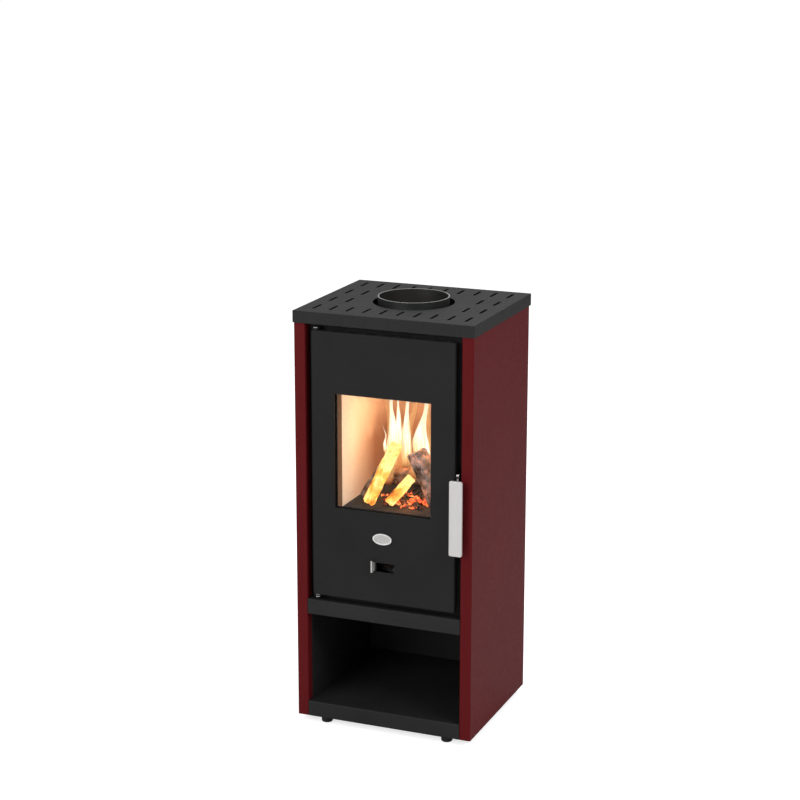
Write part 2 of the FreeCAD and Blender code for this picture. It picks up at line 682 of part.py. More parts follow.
# ==================================================================== door
def door_panel():
    """Return the door's face: a folded sheet with the window and the air slot."""
    outer = rounded_plate(centred(DOOR_HALF), (0, DOOR_FOLD), (DOOR_BOTTOM, DOOR_TOP), DOOR_CORNER)
    outer = rounded(outer, DOOR_EDGE, lambda p: near(p.y, 0))
    inner = rounded_plate(centred(DOOR_HALF - DOOR_SHEET), (DOOR_SHEET, DOOR_FOLD),
                          (DOOR_BOTTOM + DOOR_SHEET, DOOR_TOP - DOOR_SHEET),
                          DOOR_CORNER - DOOR_SHEET)
    panel = outer.cut(inner)
    window = block(centred(WINDOW_WIDTH / 2), (0, DOOR_SHEET), (WINDOW_BOTTOM, WINDOW_TOP))
    air_slot = block(centred(AIR_SLOT_HALF), (0, DOOR_SHEET), (AIR_SLOT_BOTTOM, AIR_SLOT_TOP))
    pin_hole = rod(HINGE_X, HINGE_INSET, (DOOR_BOTTOM, DOOR_TOP), HINGE_PIN_RADIUS + HINGE_FIT)
    return panel.cut(window).cut(air_slot).cut(pin_hole)


def gasket_channel():
    """Return the grooved ring behind the door that holds the rope seal."""
    body = ring(centred(CHANNEL_HALF), (DOOR_SHEET, CHANNEL_BACK), CHANNEL_LEVELS,
                CHANNEL_WIDTH, CHANNEL_CORNER)
    half = CHANNEL_HALF - CHANNEL_WALL
    levels = (CHANNEL_LEVELS[0] + CHANNEL_WALL, CHANNEL_LEVELS[1] - CHANNEL_WALL)
    groove = ring(centred(half), (CHANNEL_BACK - GROOVE_DEPTH, CHANNEL_BACK), levels,
                  CHANNEL_WIDTH - 2 * CHANNEL_WALL, CHANNEL_CORNER - CHANNEL_WALL)
    return body.cut(groove)


def door_rope():
    """Return the rope seal, which fills the groove and reaches the frame."""
    inset = CHANNEL_WALL + ROPE_SIDE_GAP
    back = FRAME_DEPTH - FIT_GAP
    rope = ring(centred(CHANNEL_HALF - inset), (CHANNEL_BACK - GROOVE_DEPTH, back),
                (CHANNEL_LEVELS[0] + inset, CHANNEL_LEVELS[1] - inset),
                CHANNEL_WIDTH - 2 * inset, CHANNEL_CORNER - inset)
    return rounded(rope, ROPE_ROUND, lambda p: near(p.y, back))


def window_glass():
    """Return the ceramic glass behind the window."""
    return rounded_plate(centred(GLASS_HALF), (GLASS_FACE, GLASS_BACK),
                         (WINDOW_BOTTOM - GLASS_OVERLAP, WINDOW_TOP + GLASS_OVERLAP),
                         GLASS_CORNER)


def glass_tape():
    """Return the flat seal between the door's face and the glass."""
    return ring(centred(GLASS_HALF), (DOOR_SHEET, GLASS_FACE),
                (WINDOW_BOTTOM - GLASS_OVERLAP, WINDOW_TOP + GLASS_OVERLAP),
                GLASS_OVERLAP - TAPE_INSET, GLASS_CORNER)


def clip_at_right():
    """Return the clip on the glass's right edge, with its screw hole."""
    level = (WINDOW_LEVEL - CLIP_WIDTH / 2, WINDOW_LEVEL + CLIP_WIDTH / 2)
    inner = GLASS_HALF + CLIP_GAP
    pad = block((GLASS_HALF - CLIP_GRIP, inner + CLIP_FOOT), (GLASS_BACK, CLIP_BACK), level)
    leg = block((inner, inner + CLIP_FOOT), (DOOR_SHEET, GLASS_BACK), level)
    hole = rod_along_depth(inner + CLIP_FOOT / 2, (DOOR_SHEET, CLIP_BACK), WINDOW_LEVEL,
                           SCREW_RADIUS + SCREW_CLEARANCE)
    return joined(pad, leg).cut(hole)


def screw_at_right():
    """Return the screw of the right-hand clip."""
    x = GLASS_HALF + CLIP_GAP + CLIP_FOOT / 2
    shank = rod_along_depth(x, (DOOR_SHEET, CLIP_BACK), WINDOW_LEVEL, SCREW_RADIUS)
    head_end = CLIP_BACK + SCREW_HEAD_HEIGHT
    head = rod_along_depth(x, (CLIP_BACK, head_end), WINDOW_LEVEL, SCREW_HEAD_RADIUS)
    head = rounded(head, SCREW_HEAD_HEIGHT / 2, lambda p: near(p.y, head_end))
    return joined(shank, head)


def round_the_window(piece):
    """Return copies of a right-hand piece for all four sides of the window."""
    middle = FreeCAD.Vector(0, 0, WINDOW_LEVEL)
    taller = (WINDOW_HEIGHT - WINDOW_WIDTH) / 2
    copies = []
    for quarter in range(4):
        copy = piece.copy()
        if quarter % 2:
            copy.translate(FreeCAD.Vector(taller, 0, 0))
        copy.rotate(middle, FreeCAD.Vector(0, 1, 0), 90 * quarter)
        copies.append(copy)
    return copies


def elliptic_disc(width, height, y):
    """Return a disc with an elliptic outline that faces the front, centred on the badge."""
    outline = Part.Ellipse(FreeCAD.Vector(0, 0, 0), width / 2, height / 2)
    disc = Part.Face(Part.Wire(outline.toShape())).extrude(FreeCAD.Vector(0, 0, y[1] - y[0]))
    disc.rotate(FreeCAD.Vector(0, 0, 0), FreeCAD.Vector(1, 0, 0), 90)
    disc.translate(FreeCAD.Vector(0, y[1], DOOR_BOTTOM + BADGE_LIFT))
    return disc


def badge():
    """Return the blank oval badge with its raised rim."""
    face = -BADGE_THICK
    base = elliptic_disc(BADGE_WIDTH, BADGE_HEIGHT, (face, 0))
    rim_outer = elliptic_disc(BADGE_WIDTH, BADGE_HEIGHT, (face - BADGE_RIM_RISE, face))
    rim_inner = elliptic_disc(BADGE_WIDTH - 2 * BADGE_RIM, BADGE_HEIGHT - 2 * BADGE_RIM,
                              (face - BADGE_RIM_RISE, face))
    return joined(base, rim_outer.cut(rim_inner))


# ==================================================================== hinges
def hinge_plate(level):
    """Return one hinge plate, welded to the frame; level is its (low, high) pair."""
    arm = block((HINGE_X - HINGE_PLATE_RADIUS, HINGE_X + HINGE_PLATE_RADIUS),
                (HINGE_INSET, FRAME_DEPTH), level)
    nose = rod(HINGE_X, HINGE_INSET, level, HINGE_PLATE_RADIUS)
    hole = rod(HINGE_X, HINGE_INSET, level, HINGE_PIN_RADIUS + HINGE_FIT)
    return joined(arm, nose).cut(hole)


def upper_plate_levels():
    """Return the upper hinge plate's (low, high) pair."""
    low = DOOR_TOP + HINGE_RUNNING_GAP
    return (low, low + HINGE_PLATE)


def lower_plate_levels():
    """Return the lower hinge plate's (low, high) pair."""
    high = DOOR_BOTTOM - HINGE_RUNNING_GAP
    return (high - HINGE_PLATE, high)


def upper_hinge_pin():
    """Return the headed pin that drops through the upper plate into the door."""
    seat = upper_plate_levels()[1]
    shank = rod(HINGE_X, HINGE_INSET, (DOOR_TOP - HINGE_PIN_REACH, seat), HINGE_PIN_RADIUS)
    head = rod(HINGE_X, HINGE_INSET, (seat, seat + HINGE_HEAD_HEIGHT), HINGE_HEAD_RADIUS)
    return joined(shank, head)


def lower_hinge_pin():
    """Return the headed pin that stands up through the lower plate into the door."""
    seat = lower_plate_levels()[0]
    shank = rod(HINGE_X, HINGE_INSET, (seat, DOOR_BOTTOM + HINGE_PIN_REACH), HINGE_PIN_RADIUS)
    head = rod(HINGE_X, HINGE_INSET, (seat - HINGE_HEAD_HEIGHT, seat), HINGE_HEAD_RADIUS)
    return joined(shank, head)


def hinge_washer():
    """Return the washer that the door's weight runs on."""
    low = lower_plate_levels()[1]
    level = (low, low + WASHER_THICK)
    disc = rod(HINGE_X, HINGE_INSET, level, WASHER_RADIUS)
    return disc.cut(rod(HINGE_X, HINGE_INSET, level, HINGE_PIN_RADIUS + HINGE_FIT))


# ==================================================================== handle and latch
def handle_lug(low):
    """Return one of the two ears on the door's edge that hold the handle's pin."""
    level = (low, low + LUG_SHEET)
    arm = block((DOOR_HALF, PIVOT_X), (PIVOT_DEPTH - LUG_RADIUS, PIVOT_DEPTH + LUG_RADIUS), level)
    nose = rod(PIVOT_X, PIVOT_DEPTH, level, LUG_RADIUS)
    hole = rod(PIVOT_X, PIVOT_DEPTH, level, PIVOT_RADIUS + PIVOT_FIT)
    return joined(arm, nose).cut(hole)


def handle_pin():
    """Return the handle's pivot pin with its domed head."""
    low = BAR_BOTTOM - LUG_GAP - LUG_SHEET
    high = BAR_TOP + LUG_GAP + LUG_SHEET
    shank = rod(PIVOT_X, PIVOT_DEPTH, (low, high), PIVOT_RADIUS)
    collar = rod(PIVOT_X, PIVOT_DEPTH, (high, high + PIVOT_HEAD_RISE), PIVOT_HEAD_RADIUS)
    top = FreeCAD.Vector(PIVOT_X, PIVOT_DEPTH, high + PIVOT_HEAD_RISE)
    dome = Part.makeSphere(PIVOT_HEAD_RADIUS, top, FreeCAD.Vector(0, 0, 1), 0, 90, 360)
    stop = rod(PIVOT_X, PIVOT_DEPTH, (low - PIVOT_HEAD_RISE, low), PIVOT_HEAD_RADIUS)
    return joined(shank, collar, dome, stop)


def handle_bar():
    """Return the flat upright bar that the hand pulls."""
    left = DOOR_HALF - BAR_OVER_DOOR
    bar = rounded_plate((left, left + BAR_WIDTH), (-BAR_REACH, BAR_BACK), (BAR_BOTTOM, BAR_TOP),
                        BAR_CORNER)
    return rounded(bar, BAR_EDGE, lambda p: near(p.y, -BAR_REACH))


def latch_lever():
    """Return the lever: a hub on the pin, a web out to the bar and a hook inside."""
    level = (LATCH_LEVEL - HUB_HEIGHT / 2, LATCH_LEVEL + HUB_HEIGHT / 2)
    hook_level = (LATCH_LEVEL - HOOK_HEIGHT / 2, LATCH_LEVEL + HOOK_HEIGHT / 2)
    hub = rod(PIVOT_X, PIVOT_DEPTH, level, HUB_RADIUS)
    web = block((PIVOT_X - LEVER_THICK / 2, PIVOT_X + LEVER_THICK / 2), (BAR_BACK, PIVOT_DEPTH),
                level)
    hook_left = DOOR_HALF + HOOK_DOOR_GAP
    hook_right = hook_left + HOOK_THICK
    nose_face = STRIKE_BACK + HOOK_GAP
    nose_back = nose_face + HOOK_NOSE_THICK
    arm = block((hook_left, hook_right), (PIVOT_DEPTH, nose_back), hook_level)
    nose = block((hook_right - HOOK_NOSE, hook_right), (nose_face, nose_back), hook_level)
    bore = rod(PIVOT_X, PIVOT_DEPTH, level, PIVOT_RADIUS + PIVOT_FIT)
    return joined(hub, web, arm, nose).cut(bore)


def latch_keeper():
    """Return the strike on the frame that the hook grips from behind."""
    left = DOOR_HALF - KEEPER_INSET
    level = (LATCH_LEVEL - KEEPER_HEIGHT / 2, LATCH_LEVEL + KEEPER_HEIGHT / 2)
    web = block((left, left + KEEPER_SHEET), (STRIKE_FACE, FRAME_DEPTH), level)
    strike = block((left, DOOR_HALF + KEEPER_PAST_DOOR), (STRIKE_FACE, STRIKE_BACK), level)
    return joined(web, strike)


# ==================================================================== air slide
def air_shutter():
    """Return the sheet that slides behind the door's air slot."""
    plate = block((SHUTTER_LEFT, SHUTTER_RIGHT), (SHUTTER_FACE, SHUTTER_BACK),
                  (AIR_SLOT_BOTTOM - SHUTTER_LAP, AIR_SLOT_TOP + SHUTTER_LAP))
    window = block((SHUTTER_ROOT - AIR_SLOT_HALF, AIR_SLOT_HALF + SHUTTER_WINDOW_LAP),
                   (SHUTTER_FACE, SHUTTER_BACK), (AIR_SLOT_BOTTOM, AIR_SLOT_TOP))
    return plate.cut(window)


def air_tab():
    """Return the shutter's finger tab, which flares upwards outside the door."""
    left = TAB_INSET - AIR_SLOT_HALF
    low = AIR_SLOT_BOTTOM + TAB_SLOT_GAP
    high = AIR_SLOT_TOP - TAB_SLOT_GAP
    profile = ((SHUTTER_FACE, low), (-TAB_REACH, low), (-TAB_REACH, AIR_SLOT_TOP + TAB_FLARE),
               (-TAB_SLOT_GAP, high), (SHUTTER_FACE, high))
    points = [FreeCAD.Vector(left, y, z) for y, z in profile]
    face = Part.Face(Part.makePolygon(points + points[:1]))
    tab = face.extrude(FreeCAD.Vector(TAB_THICK, 0, 0))
    return rounded(tab, TAB_EDGE, lambda p: near(p.y, -TAB_REACH))


def shutter_guide(edge, outward):
    """Return one guide strip; edge is the shutter's edge, outward is 1 above and -1 below."""
    across = (SHUTTER_LEFT - GUIDE_END, SHUTTER_RIGHT + AIR_TRAVEL + GUIDE_END)
    wall_start = edge + outward * FIT_GAP
    wall_end = wall_start + outward * GUIDE_WALL
    lip_end = wall_start - outward * GUIDE_COVER
    lip_face = SHUTTER_BACK + SHUTTER_GAP
    back = lip_face + GUIDE_LIP
    wall = block(across, (DOOR_SHEET, back), sorted((wall_start, wall_end)))
    lip = block(across, (lip_face, back), sorted((lip_end, wall_end)))
    return joined(wall, lip)


# ==================================================================== ash pan
def ash_pan():
    """Return the sliding ash pan with its folded pull."""
    half = PAN_WIDTH / 2
    rim = PAN_BOTTOM + PAN_HEIGHT
    back = PAN_FRONT + PAN_LENGTH
    outer = block(centred(half), (PAN_FRONT, back), (PAN_BOTTOM, rim))
    inner = block(centred(half - PAN_SHEET), (PAN_FRONT + PAN_SHEET, back - PAN_SHEET),
                  (PAN_BOTTOM + PAN_SHEET, rim))
    pull_front = PAN_FRONT - PAN_PULL_REACH
    pull = centred(PAN_PULL_WIDTH / 2)
    shelf = block(pull, (pull_front, PAN_FRONT), (rim - PAN_SHEET, rim))
    lip = block(pull, (pull_front, pull_front + PAN_SHEET), (rim - PAN_PULL_LIP, rim))
    return joined(outer.cut(inner), shelf, lip)


# ==================================================================== the whole stove
def main():
    """Build every piece and write one file per node."""
    os.makedirs("parts", exist_ok=True)

    panel = side_panel()
    save("side_panel_right", panel)
    save("side_panel_left", mirrored(panel))
    save("top_plate", top_plate())
    save("front_rail", front_rail())
    save("base_tray", base_tray())
    save("log_store_wall_right", store_wall())
    save("log_store_wall_left", mirrored(store_wall()))
    save("log_store_back", store_back())
    save("firebox_shelf", firebox_shelf())
    save("rear_cover", rear_cover())
    save("rear_screws", [rear_screw(x, z) for x, z in rear_screw_places()])
    save("feet", [foot(x, y) for x, y in foot_places()])
    save("foot_nuts", [foot_nut(x, y) for x, y in foot_places()])

    save("front_frame", front_frame())
    save("firebox_side_right", firebox_side())
    save("firebox_side_left", mirrored(firebox_side()))
    save("firebox_back", firebox_back())
    save("ash_floor", ash_floor())
    save("firebox_top", firebox_top())
    save("flue_flange", flue_flange())
    save("flue_collar", flue_collar())
    save("grate_shelf", grate_shelf())
    save("grate", grate())
    save("bed_bricks", bed_bricks())
    save("side_liner_right", side_liner())
    save("side_liner_left", mirrored(side_liner()))
    save("back_liner", back_liner())
    save("baffle_plate", baffle_plate())
    save("ash_pan_runners", [pan_runner(), mirrored(pan_runner())])
    save("split_logs", [split_log(*log) for log in LOGS])

    save("door_panel", door_panel())
    save("gasket_channel", gasket_channel())
    save("door_rope", door_rope())
    save("window_glass", window_glass())
    save("glass_tape", glass_tape())
    save("glass_clips", round_the_window(clip_at_right()))
    save("glass_clip_screws", round_the_window(screw_at_right()))
    save("badge", badge())

    save("hinge_plate_upper", hinge_plate(upper_plate_levels()))
    save("hinge_plate_lower", hinge_plate(lower_plate_levels()))
    save("hinge_pin_upper", upper_hinge_pin())
    save("hinge_pin_lower", lower_hinge_pin())
    save("hinge_washer", hinge_washer())

    lug_levels = (BAR_BOTTOM - LUG_GAP - LUG_SHEET, BAR_TOP + LUG_GAP)
    save("handle_lugs", [handle_lug(low) for low in lug_levels])
    save("handle_pin", handle_pin())
    save("handle_bar", handle_bar())
    save("latch_lever", latch_lever())
    save("latch_keeper", latch_keeper())

    save("air_shutter", air_shutter())
    save("air_tab", air_tab())
    save("shutter_guides", [shutter_guide(AIR_SLOT_TOP + SHUTTER_LAP, 1),
                            shutter_guide(AIR_SLOT_BOTTOM - SHUTTER_LAP, -1)])
    save("ash_pan", ash_pan())


main()
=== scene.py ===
import json
import logging
import math
import random
from collections.abc import Callable, Sequence
from dataclasses import dataclass
from enum import Enum

import bmesh
import bpy
import numpy as np
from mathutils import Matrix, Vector, noise


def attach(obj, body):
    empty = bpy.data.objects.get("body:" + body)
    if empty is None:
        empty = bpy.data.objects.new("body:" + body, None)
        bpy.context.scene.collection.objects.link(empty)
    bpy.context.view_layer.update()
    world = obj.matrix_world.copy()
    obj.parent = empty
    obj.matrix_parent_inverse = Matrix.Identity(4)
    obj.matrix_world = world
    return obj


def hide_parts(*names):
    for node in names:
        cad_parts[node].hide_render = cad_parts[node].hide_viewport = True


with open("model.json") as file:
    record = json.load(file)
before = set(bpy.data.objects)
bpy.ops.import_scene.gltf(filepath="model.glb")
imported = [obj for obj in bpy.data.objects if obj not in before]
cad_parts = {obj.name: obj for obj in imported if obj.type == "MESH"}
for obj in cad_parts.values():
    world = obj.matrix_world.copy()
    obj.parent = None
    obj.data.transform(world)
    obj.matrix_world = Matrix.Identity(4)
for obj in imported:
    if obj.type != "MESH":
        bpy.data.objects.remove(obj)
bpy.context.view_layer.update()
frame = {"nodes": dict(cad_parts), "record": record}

log = logging.getLogger("stove")

Colour = tuple[float, float, float]
Point = tuple[float, float, float]
Span = tuple[float, float]
Socket = bpy.types.NodeSocket
Piece = bpy.types.Object
Material = bpy.types.Material
Value = Socket | Colour | float

MM = 0.001
FULL_TURN = 2 * math.pi
SIXTH_TURN = math.pi / 3
CASING_FRONT = -0.1625  # depth of the casing's front face, in metres
FIRE_BED = 480.0  # height of the bricks and the grate, in millimetres
WINDOW_LEVEL = 609.0  # height of the window's middle, in millimetres
ALONG = "along"  # the UV map that runs round and along a tube


class Body(Enum):
    """The bodies that pieces ride on."""

    STOVE = "stove_body"
    DOOR = "door"


class Grain(Enum):
    """How a metal's surface was left by its last tool."""

    PLAIN = "plain"
    BRUSHED_UPRIGHT = "brushed upright"
    BRUSHED_ACROSS = "brushed across"
    TURNED = "turned"
    SPANGLED = "spangled"


class LogLook(Enum):
    """Burn and ash, each as a base and its shares of patchiness and of height."""

    CHARRED = ((0.16, 0.35, -0.10), (0.62, 0.5, -0.25))
    GLOWING = ((0.80, 0.30, 0.22), (0.15, 0.3, 0.0))
    ASHY = ((0.30, 0.42, -0.12), (0.72, 0.6, 0.0))


def at(x: float, y: float, z: float) -> Vector:
    """Turn millimetres, with depth counted from the casing's front, into a place.

    Args:
        x: Distance to the right of the middle.
        y: Depth behind the casing's front face.
        z: Height above the floor.

    Returns:
        The place in metres.
    """
    return Vector((x * MM, CASING_FRONT + y * MM, z * MM))


def shade(colour: Colour, share: float) -> Colour:
    """Return a colour made darker or lighter."""
    return tuple(part * share for part in colour)


# ------------------------------------------------------------------ node trees
class Nodes:
    """A node tree that is laid out a node at a time."""

    def __init__(self, tree: bpy.types.NodeTree) -> None:
        """Keep the tree."""
        self.tree = tree

    def link(self, source: Socket, target: Socket) -> None:
        """Join two sockets."""
        self.tree.links.new(source, target)

    def feed(self, socket: Socket, value: Value) -> None:
        """Link a socket to an output, or set it to a constant.

        Args:
            socket: The input that is fed.
            value: An output, or the constant.
        """
        if isinstance(value, Socket):
            self.link(value, socket)
        elif socket.type == "RGBA":
            socket.default_value = (*value, 1.0)
        else:
            socket.default_value = value

    def node(self, kind: str, inputs: dict[str | int, Value] | None = None,
             **settings: object) -> bpy.types.Node:
        """Add a node.

        Args:
            kind: The node's type.
            inputs: What its inputs are fed with.
            settings: What its properties are set to.

        Returns:
            The new node.
        """
        made = self.tree.nodes.new(kind)
        for name, value in settings.items():
            setattr(made, name, value)
        for key, value in (inputs or {}).items():
            self.feed(made.inputs[key], value)
        return made


class Shader(Nodes):
    """One material's nodes. Scales are counted in cells for each metre."""

    def __init__(self, name: str) -> None:
        """Start a material of this name."""
        self.material = bpy.data.materials.new(name)
        self.material.use_nodes = True
        super().__init__(self.material.node_tree)
        self.places = self.node("ShaderNodeTexCoord").outputs["Object"]

    def set(self, **values: Value) -> None:
        """Feed the surface's own sockets, named with underscores for spaces."""
        surface = self.tree.nodes["Principled BSDF"]
        for name, value in values.items():
            self.feed(surface.inputs[name.replace("_", " ")], value)

    def mapped(self, scale: Point = (1, 1, 1), turn: Point = (0, 0, 0),
               shift: Point = (0, 0, 0), places: Socket | None = None) -> Socket:
        """Stretch, turn and shift places.

        Args:
            scale: The stretch along each axis.
            turn: The turn about each axis, in radians.
            shift: The shift along each axis.
            places: The places; the object's own if none are given.

        Returns:
            The new places.
        """
        return self.node("ShaderNodeMapping", {
            "Vector": places or self.places, "Scale": scale, "Rotation": turn,
            "Location": shift}).outputs["Vector"]

    def noise(self, scale: float, detail: float = 3, rough: float = 0.55,
              places: Socket | None = None, distortion: float = 0) -> Socket:
        """Make fractal noise.

        Args:
            scale: Its scale.
            detail: How many finer layers it has.
            rough: How strong the finer layers are.
            places: The places it is read at; the object's own if none are given.
            distortion: How far it is stirred.

        Returns:
            The noise, near 0 to 1.
        """
        return self.node("ShaderNodeTexNoise", {
            "Vector": places or self.places, "Scale": scale, "Detail": detail,
            "Roughness": rough, "Distortion": distortion}).outputs["Fac"]

    def cells(self, scale: float, feature: str = "F1", places: Socket | None = None,
              output: str = "Distance") -> Socket:
        """Make a pattern of cells.

        Args:
            scale: Its scale.
            feature: What is measured in a cell.
            places: The places it is read at; the object's own if none are given.
            output: Which of the node's outputs is wanted.

        Returns:
            The distance or the colour.
        """
        return self.node("ShaderNodeTexVoronoi",
                         {"Vector": places or self.places, "Scale": scale},
                         feature=feature).outputs[output]

    def spread(self, value: Socket, source: Span, target: Span = (0, 1)) -> Socket:
        """Move a value, within limits, from one span to another.

        Args:
            value: The value.
            source: The span it comes from.
            target: The span it goes to.

        Returns:
            The moved value.
        """
        return self.node("ShaderNodeMapRange", {
            "Value": value, "From Min": source[0], "From Max": source[1],
            "To Min": target[0], "To Max": target[1]}).outputs["Result"]

    def calc(self, operation: str, first: Value, second: Value = 0.0) -> Socket:
        """Return the result of a Math node."""
        return self.node("ShaderNodeMath", {0: first, 1: second},
                         operation=operation).outputs[0]

    def plus(self, first: Value, second: Value) -> Socket:
        """Return a sum."""
        return self.calc("ADD", first, second)

    def times(self, first: Value, second: Value) -> Socket:
        """Return a product."""
        return self.calc("MULTIPLY", first, second)

    def mixed(self, factor: Socket, low: Value, high: Value) -> Socket:
        """Return a mix of two colours: low where the factor is 0, high where it is 1."""
        return self.node("ShaderNodeMix", {"Factor": factor, 6: low, 7: high},
                         data_type="RGBA").outputs[2]

    def ramp(self, factor: Socket, stops: Sequence[tuple[float, Colour]]) -> Socket:
        """Read a colour from a ramp.

        Args:
            factor: Where on the ramp it is read.
            stops: The place and the colour of each stop, in order.

        Returns:
            The colour.
        """
        made = self.node("ShaderNodeValToRGB", {"Fac": factor})
        steps = made.color_ramp.elements
        while len(steps) < len(stops):
            steps.new(0.5)
        for step, (place, colour) in zip(steps, stops):
            step.position = place
            step.color = (*colour, 1.0)
        return made.outputs["Color"]

    def axis(self, name: str, places: Socket | None = None) -> Socket:
        """Return one coordinate, X, Y or Z."""
        return self.node("ShaderNodeSeparateXYZ",
                         {"Vector": places or self.places}).outputs[name]

    def bump(self, height: Socket, depth: float, under: Socket | None = None) -> Socket:
        """Bump the surface.

        Args:
            height: The pattern that is raised.
            depth: How high it is raised, in metres.
            under: The normal of a coarser bump beneath it.

        Returns:
            The bumped normal.
        """
        inputs = {"Distance": depth, "Strength": 1.0, "Height": height}
        if under is not None:
            inputs["Normal"] = under
        return self.node("ShaderNodeBump", inputs).outputs["Normal"]


# ------------------------------------------------------------------ finishes
@dataclass(frozen=True)
class Finish:
    """A finish by name, which each kind of finish lays out in its own way."""

    name: str

    def lay_out(self, s: Shader) -> None:
        """Lay out the finish in a shader."""
        raise NotImplementedError

    def build(self) -> Material:
        """Make the material."""
        s = Shader(self.name)
        self.lay_out(s)
        return s.material


@dataclass(frozen=True)
class PaintFinish(Finish):
    """Sprayed paint: cloudy colour, a fine pebbled skin and dust that dulls it in places."""

    colour: Colour
    worn: Colour
    gloss: Span
    pebble: float
    depth: float
    specular: float
    sheen: float = 0.0
    cloud: float = 7.0
    dust: float = 120.0
    fleck: float = 2600.0

    def lay_out(self, s: Shader) -> None:
        """Lay out the finish in a shader."""
        cloud = s.noise(self.cloud, 4, 0.6)
        fine = s.noise(self.pebble, 2, 0.5)
        dust = s.noise(self.dust, 5, 0.7)
        tint = s.mixed(s.spread(cloud, (0.35, 0.7)), self.colour, self.worn)
        flecks = s.spread(s.cells(self.fleck), (0.02, 0.16), (0.3, 0))
        s.set(Base_Color=s.mixed(flecks, tint, shade(self.worn, 1.9)),
              Roughness=s.spread(dust, (0.3, 0.75), self.gloss),
              Specular_IOR_Level=self.specular, Sheen_Weight=self.sheen,
              Normal=s.bump(fine, self.depth, s.bump(cloud, 0.0006)))


@dataclass(frozen=True)
class MetalFinish(Finish):
    """Bare or plated metal with the marks of its last tool."""

    colour: Colour
    dark: Colour
    gloss: Span
    grain: Grain = Grain.PLAIN
    depth: float = 0.00002
    metallic: float = 1.0
    smudge: float = 35.0

    def marks(self, s: Shader) -> Socket:
        """Return the pattern that the last tool left, in a shader."""
        stretches = {Grain.BRUSHED_UPRIGHT: ((5200, 5200, 45), 4),
                     Grain.BRUSHED_ACROSS: ((60, 4200, 4200), 4),
                     Grain.TURNED: ((90, 90, 6000), 3)}
        if self.grain in stretches:
            stretch, detail = stretches[self.grain]
            return s.noise(1, detail, 0.6, s.mapped(stretch))
        if self.grain is Grain.SPANGLED:
            return s.axis("X", s.cells(90, output="Color"))
        return s.noise(1800, 3, 0.6)

    def lay_out(self, s: Shader) -> None:
        """Lay out the finish in a shader."""
        marks = self.marks(s)
        smudge = s.noise(self.smudge, 4, 0.6)
        marked = s.mixed(s.spread(marks, (0.25, 0.75)), self.dark, self.colour)
        s.set(Base_Color=s.mixed(s.spread(smudge, (0.35, 0.75), (0, 0.35)), marked, self.dark),
              Roughness=s.spread(s.plus(marks, smudge), (0.6, 1.4), self.gloss),
              Metallic=self.metallic, Normal=s.bump(marks, self.depth))


@dataclass(frozen=True)
class CastFinish(Finish):
    """A rough casting or a fired brick, with ash lying on it."""

    colour: Colour
    ash: Colour
    lump: float
    depth: float
    cover: Span
    drift: float = 28.0

    def lay_out(self, s: Shader) -> None:
        """Lay out the finish in a shader."""
        lumps = s.noise(self.lump, 6, 0.65)
        drift = s.noise(self.drift, 5, 0.7)
        pits = s.spread(s.cells(self.lump * 0.8), (0, 0.5))
        cover = s.spread(s.plus(drift, s.times(lumps, 0.35)), self.cover)
        bare = s.mixed(pits, shade(self.colour, 0.5), self.colour)
        s.set(Base_Color=s.mixed(cover, bare, self.ash),
              Roughness=s.spread(lumps, (0.3, 0.7), (0.75, 0.97)), Specular_IOR_Level=0.25,
              Normal=s.bump(lumps, self.depth, s.bump(pits, self.depth * 0.6)))


@dataclass(frozen=True)
class BoardFinish(Finish):
    """Pressed vermiculite board: flakes, pores, browning low down by the fire, a painted
    orange firelight tint deeper in the box, and a painted glow of its own colour.
    """

    cream: Colour
    # painted firelight: the orange that the fire throws on the boards deeper in the box
    painted_firelight_tint: Colour
    scorched: Colour
    scorch: Span  # heights between which the browning fades out
    front: float  # depth of the boards' front edges
    # strength at which the boards give off their own colour, a painted glow of firelight
    glow: float
    # depths between which the painted firelight tint comes in
    painted_firelight_depths: Span = (CASING_FRONT + 0.04, CASING_FRONT + 0.27)

    def lay_out(self, s: Shader) -> None:
        """Lay out the finish in a shader."""
        flakes = s.axis("X", s.cells(420, output="Color", places=s.mapped((1, 1, 1.8))))
        wash = s.noise(9, 4, 0.6)
        pores = s.noise(900, 3, 0.6)
        # painted firelight: cream at the front, turning to the firelight tint deeper in the
        # box
        deep = s.spread(s.axis("Y"), self.painted_firelight_depths)
        pale = s.mixed(deep, self.cream, self.painted_firelight_tint)
        speckled = s.mixed(s.spread(flakes, (0.55, 1.0), (0, 0.28)), pale,
                           shade(self.painted_firelight_tint, 0.72))
        height = s.plus(s.axis("Z"), s.times(wash, -0.16))
        smoke = s.times(s.spread(height, self.scorch, (1, 0)), s.spread(deep, (0.2, 0.75)))
        burnt = s.mixed(smoke, speckled, self.scorched)
        edge = s.spread(s.axis("Y"), (self.front, self.front + 0.001), (1, 0))
        colour = s.mixed(edge, burnt, self.scorched)
        # the boards also emit their own colour: a painted glow of firelight
        s.set(Base_Color=colour, Roughness=s.spread(pores, (0.3, 0.7), (0.8, 0.96)),
              Specular_IOR_Level=0.2, Emission_Color=colour, Emission_Strength=self.glow,
              Normal=s.bump(flakes, 0.00022, s.bump(pores, 0.00012)))


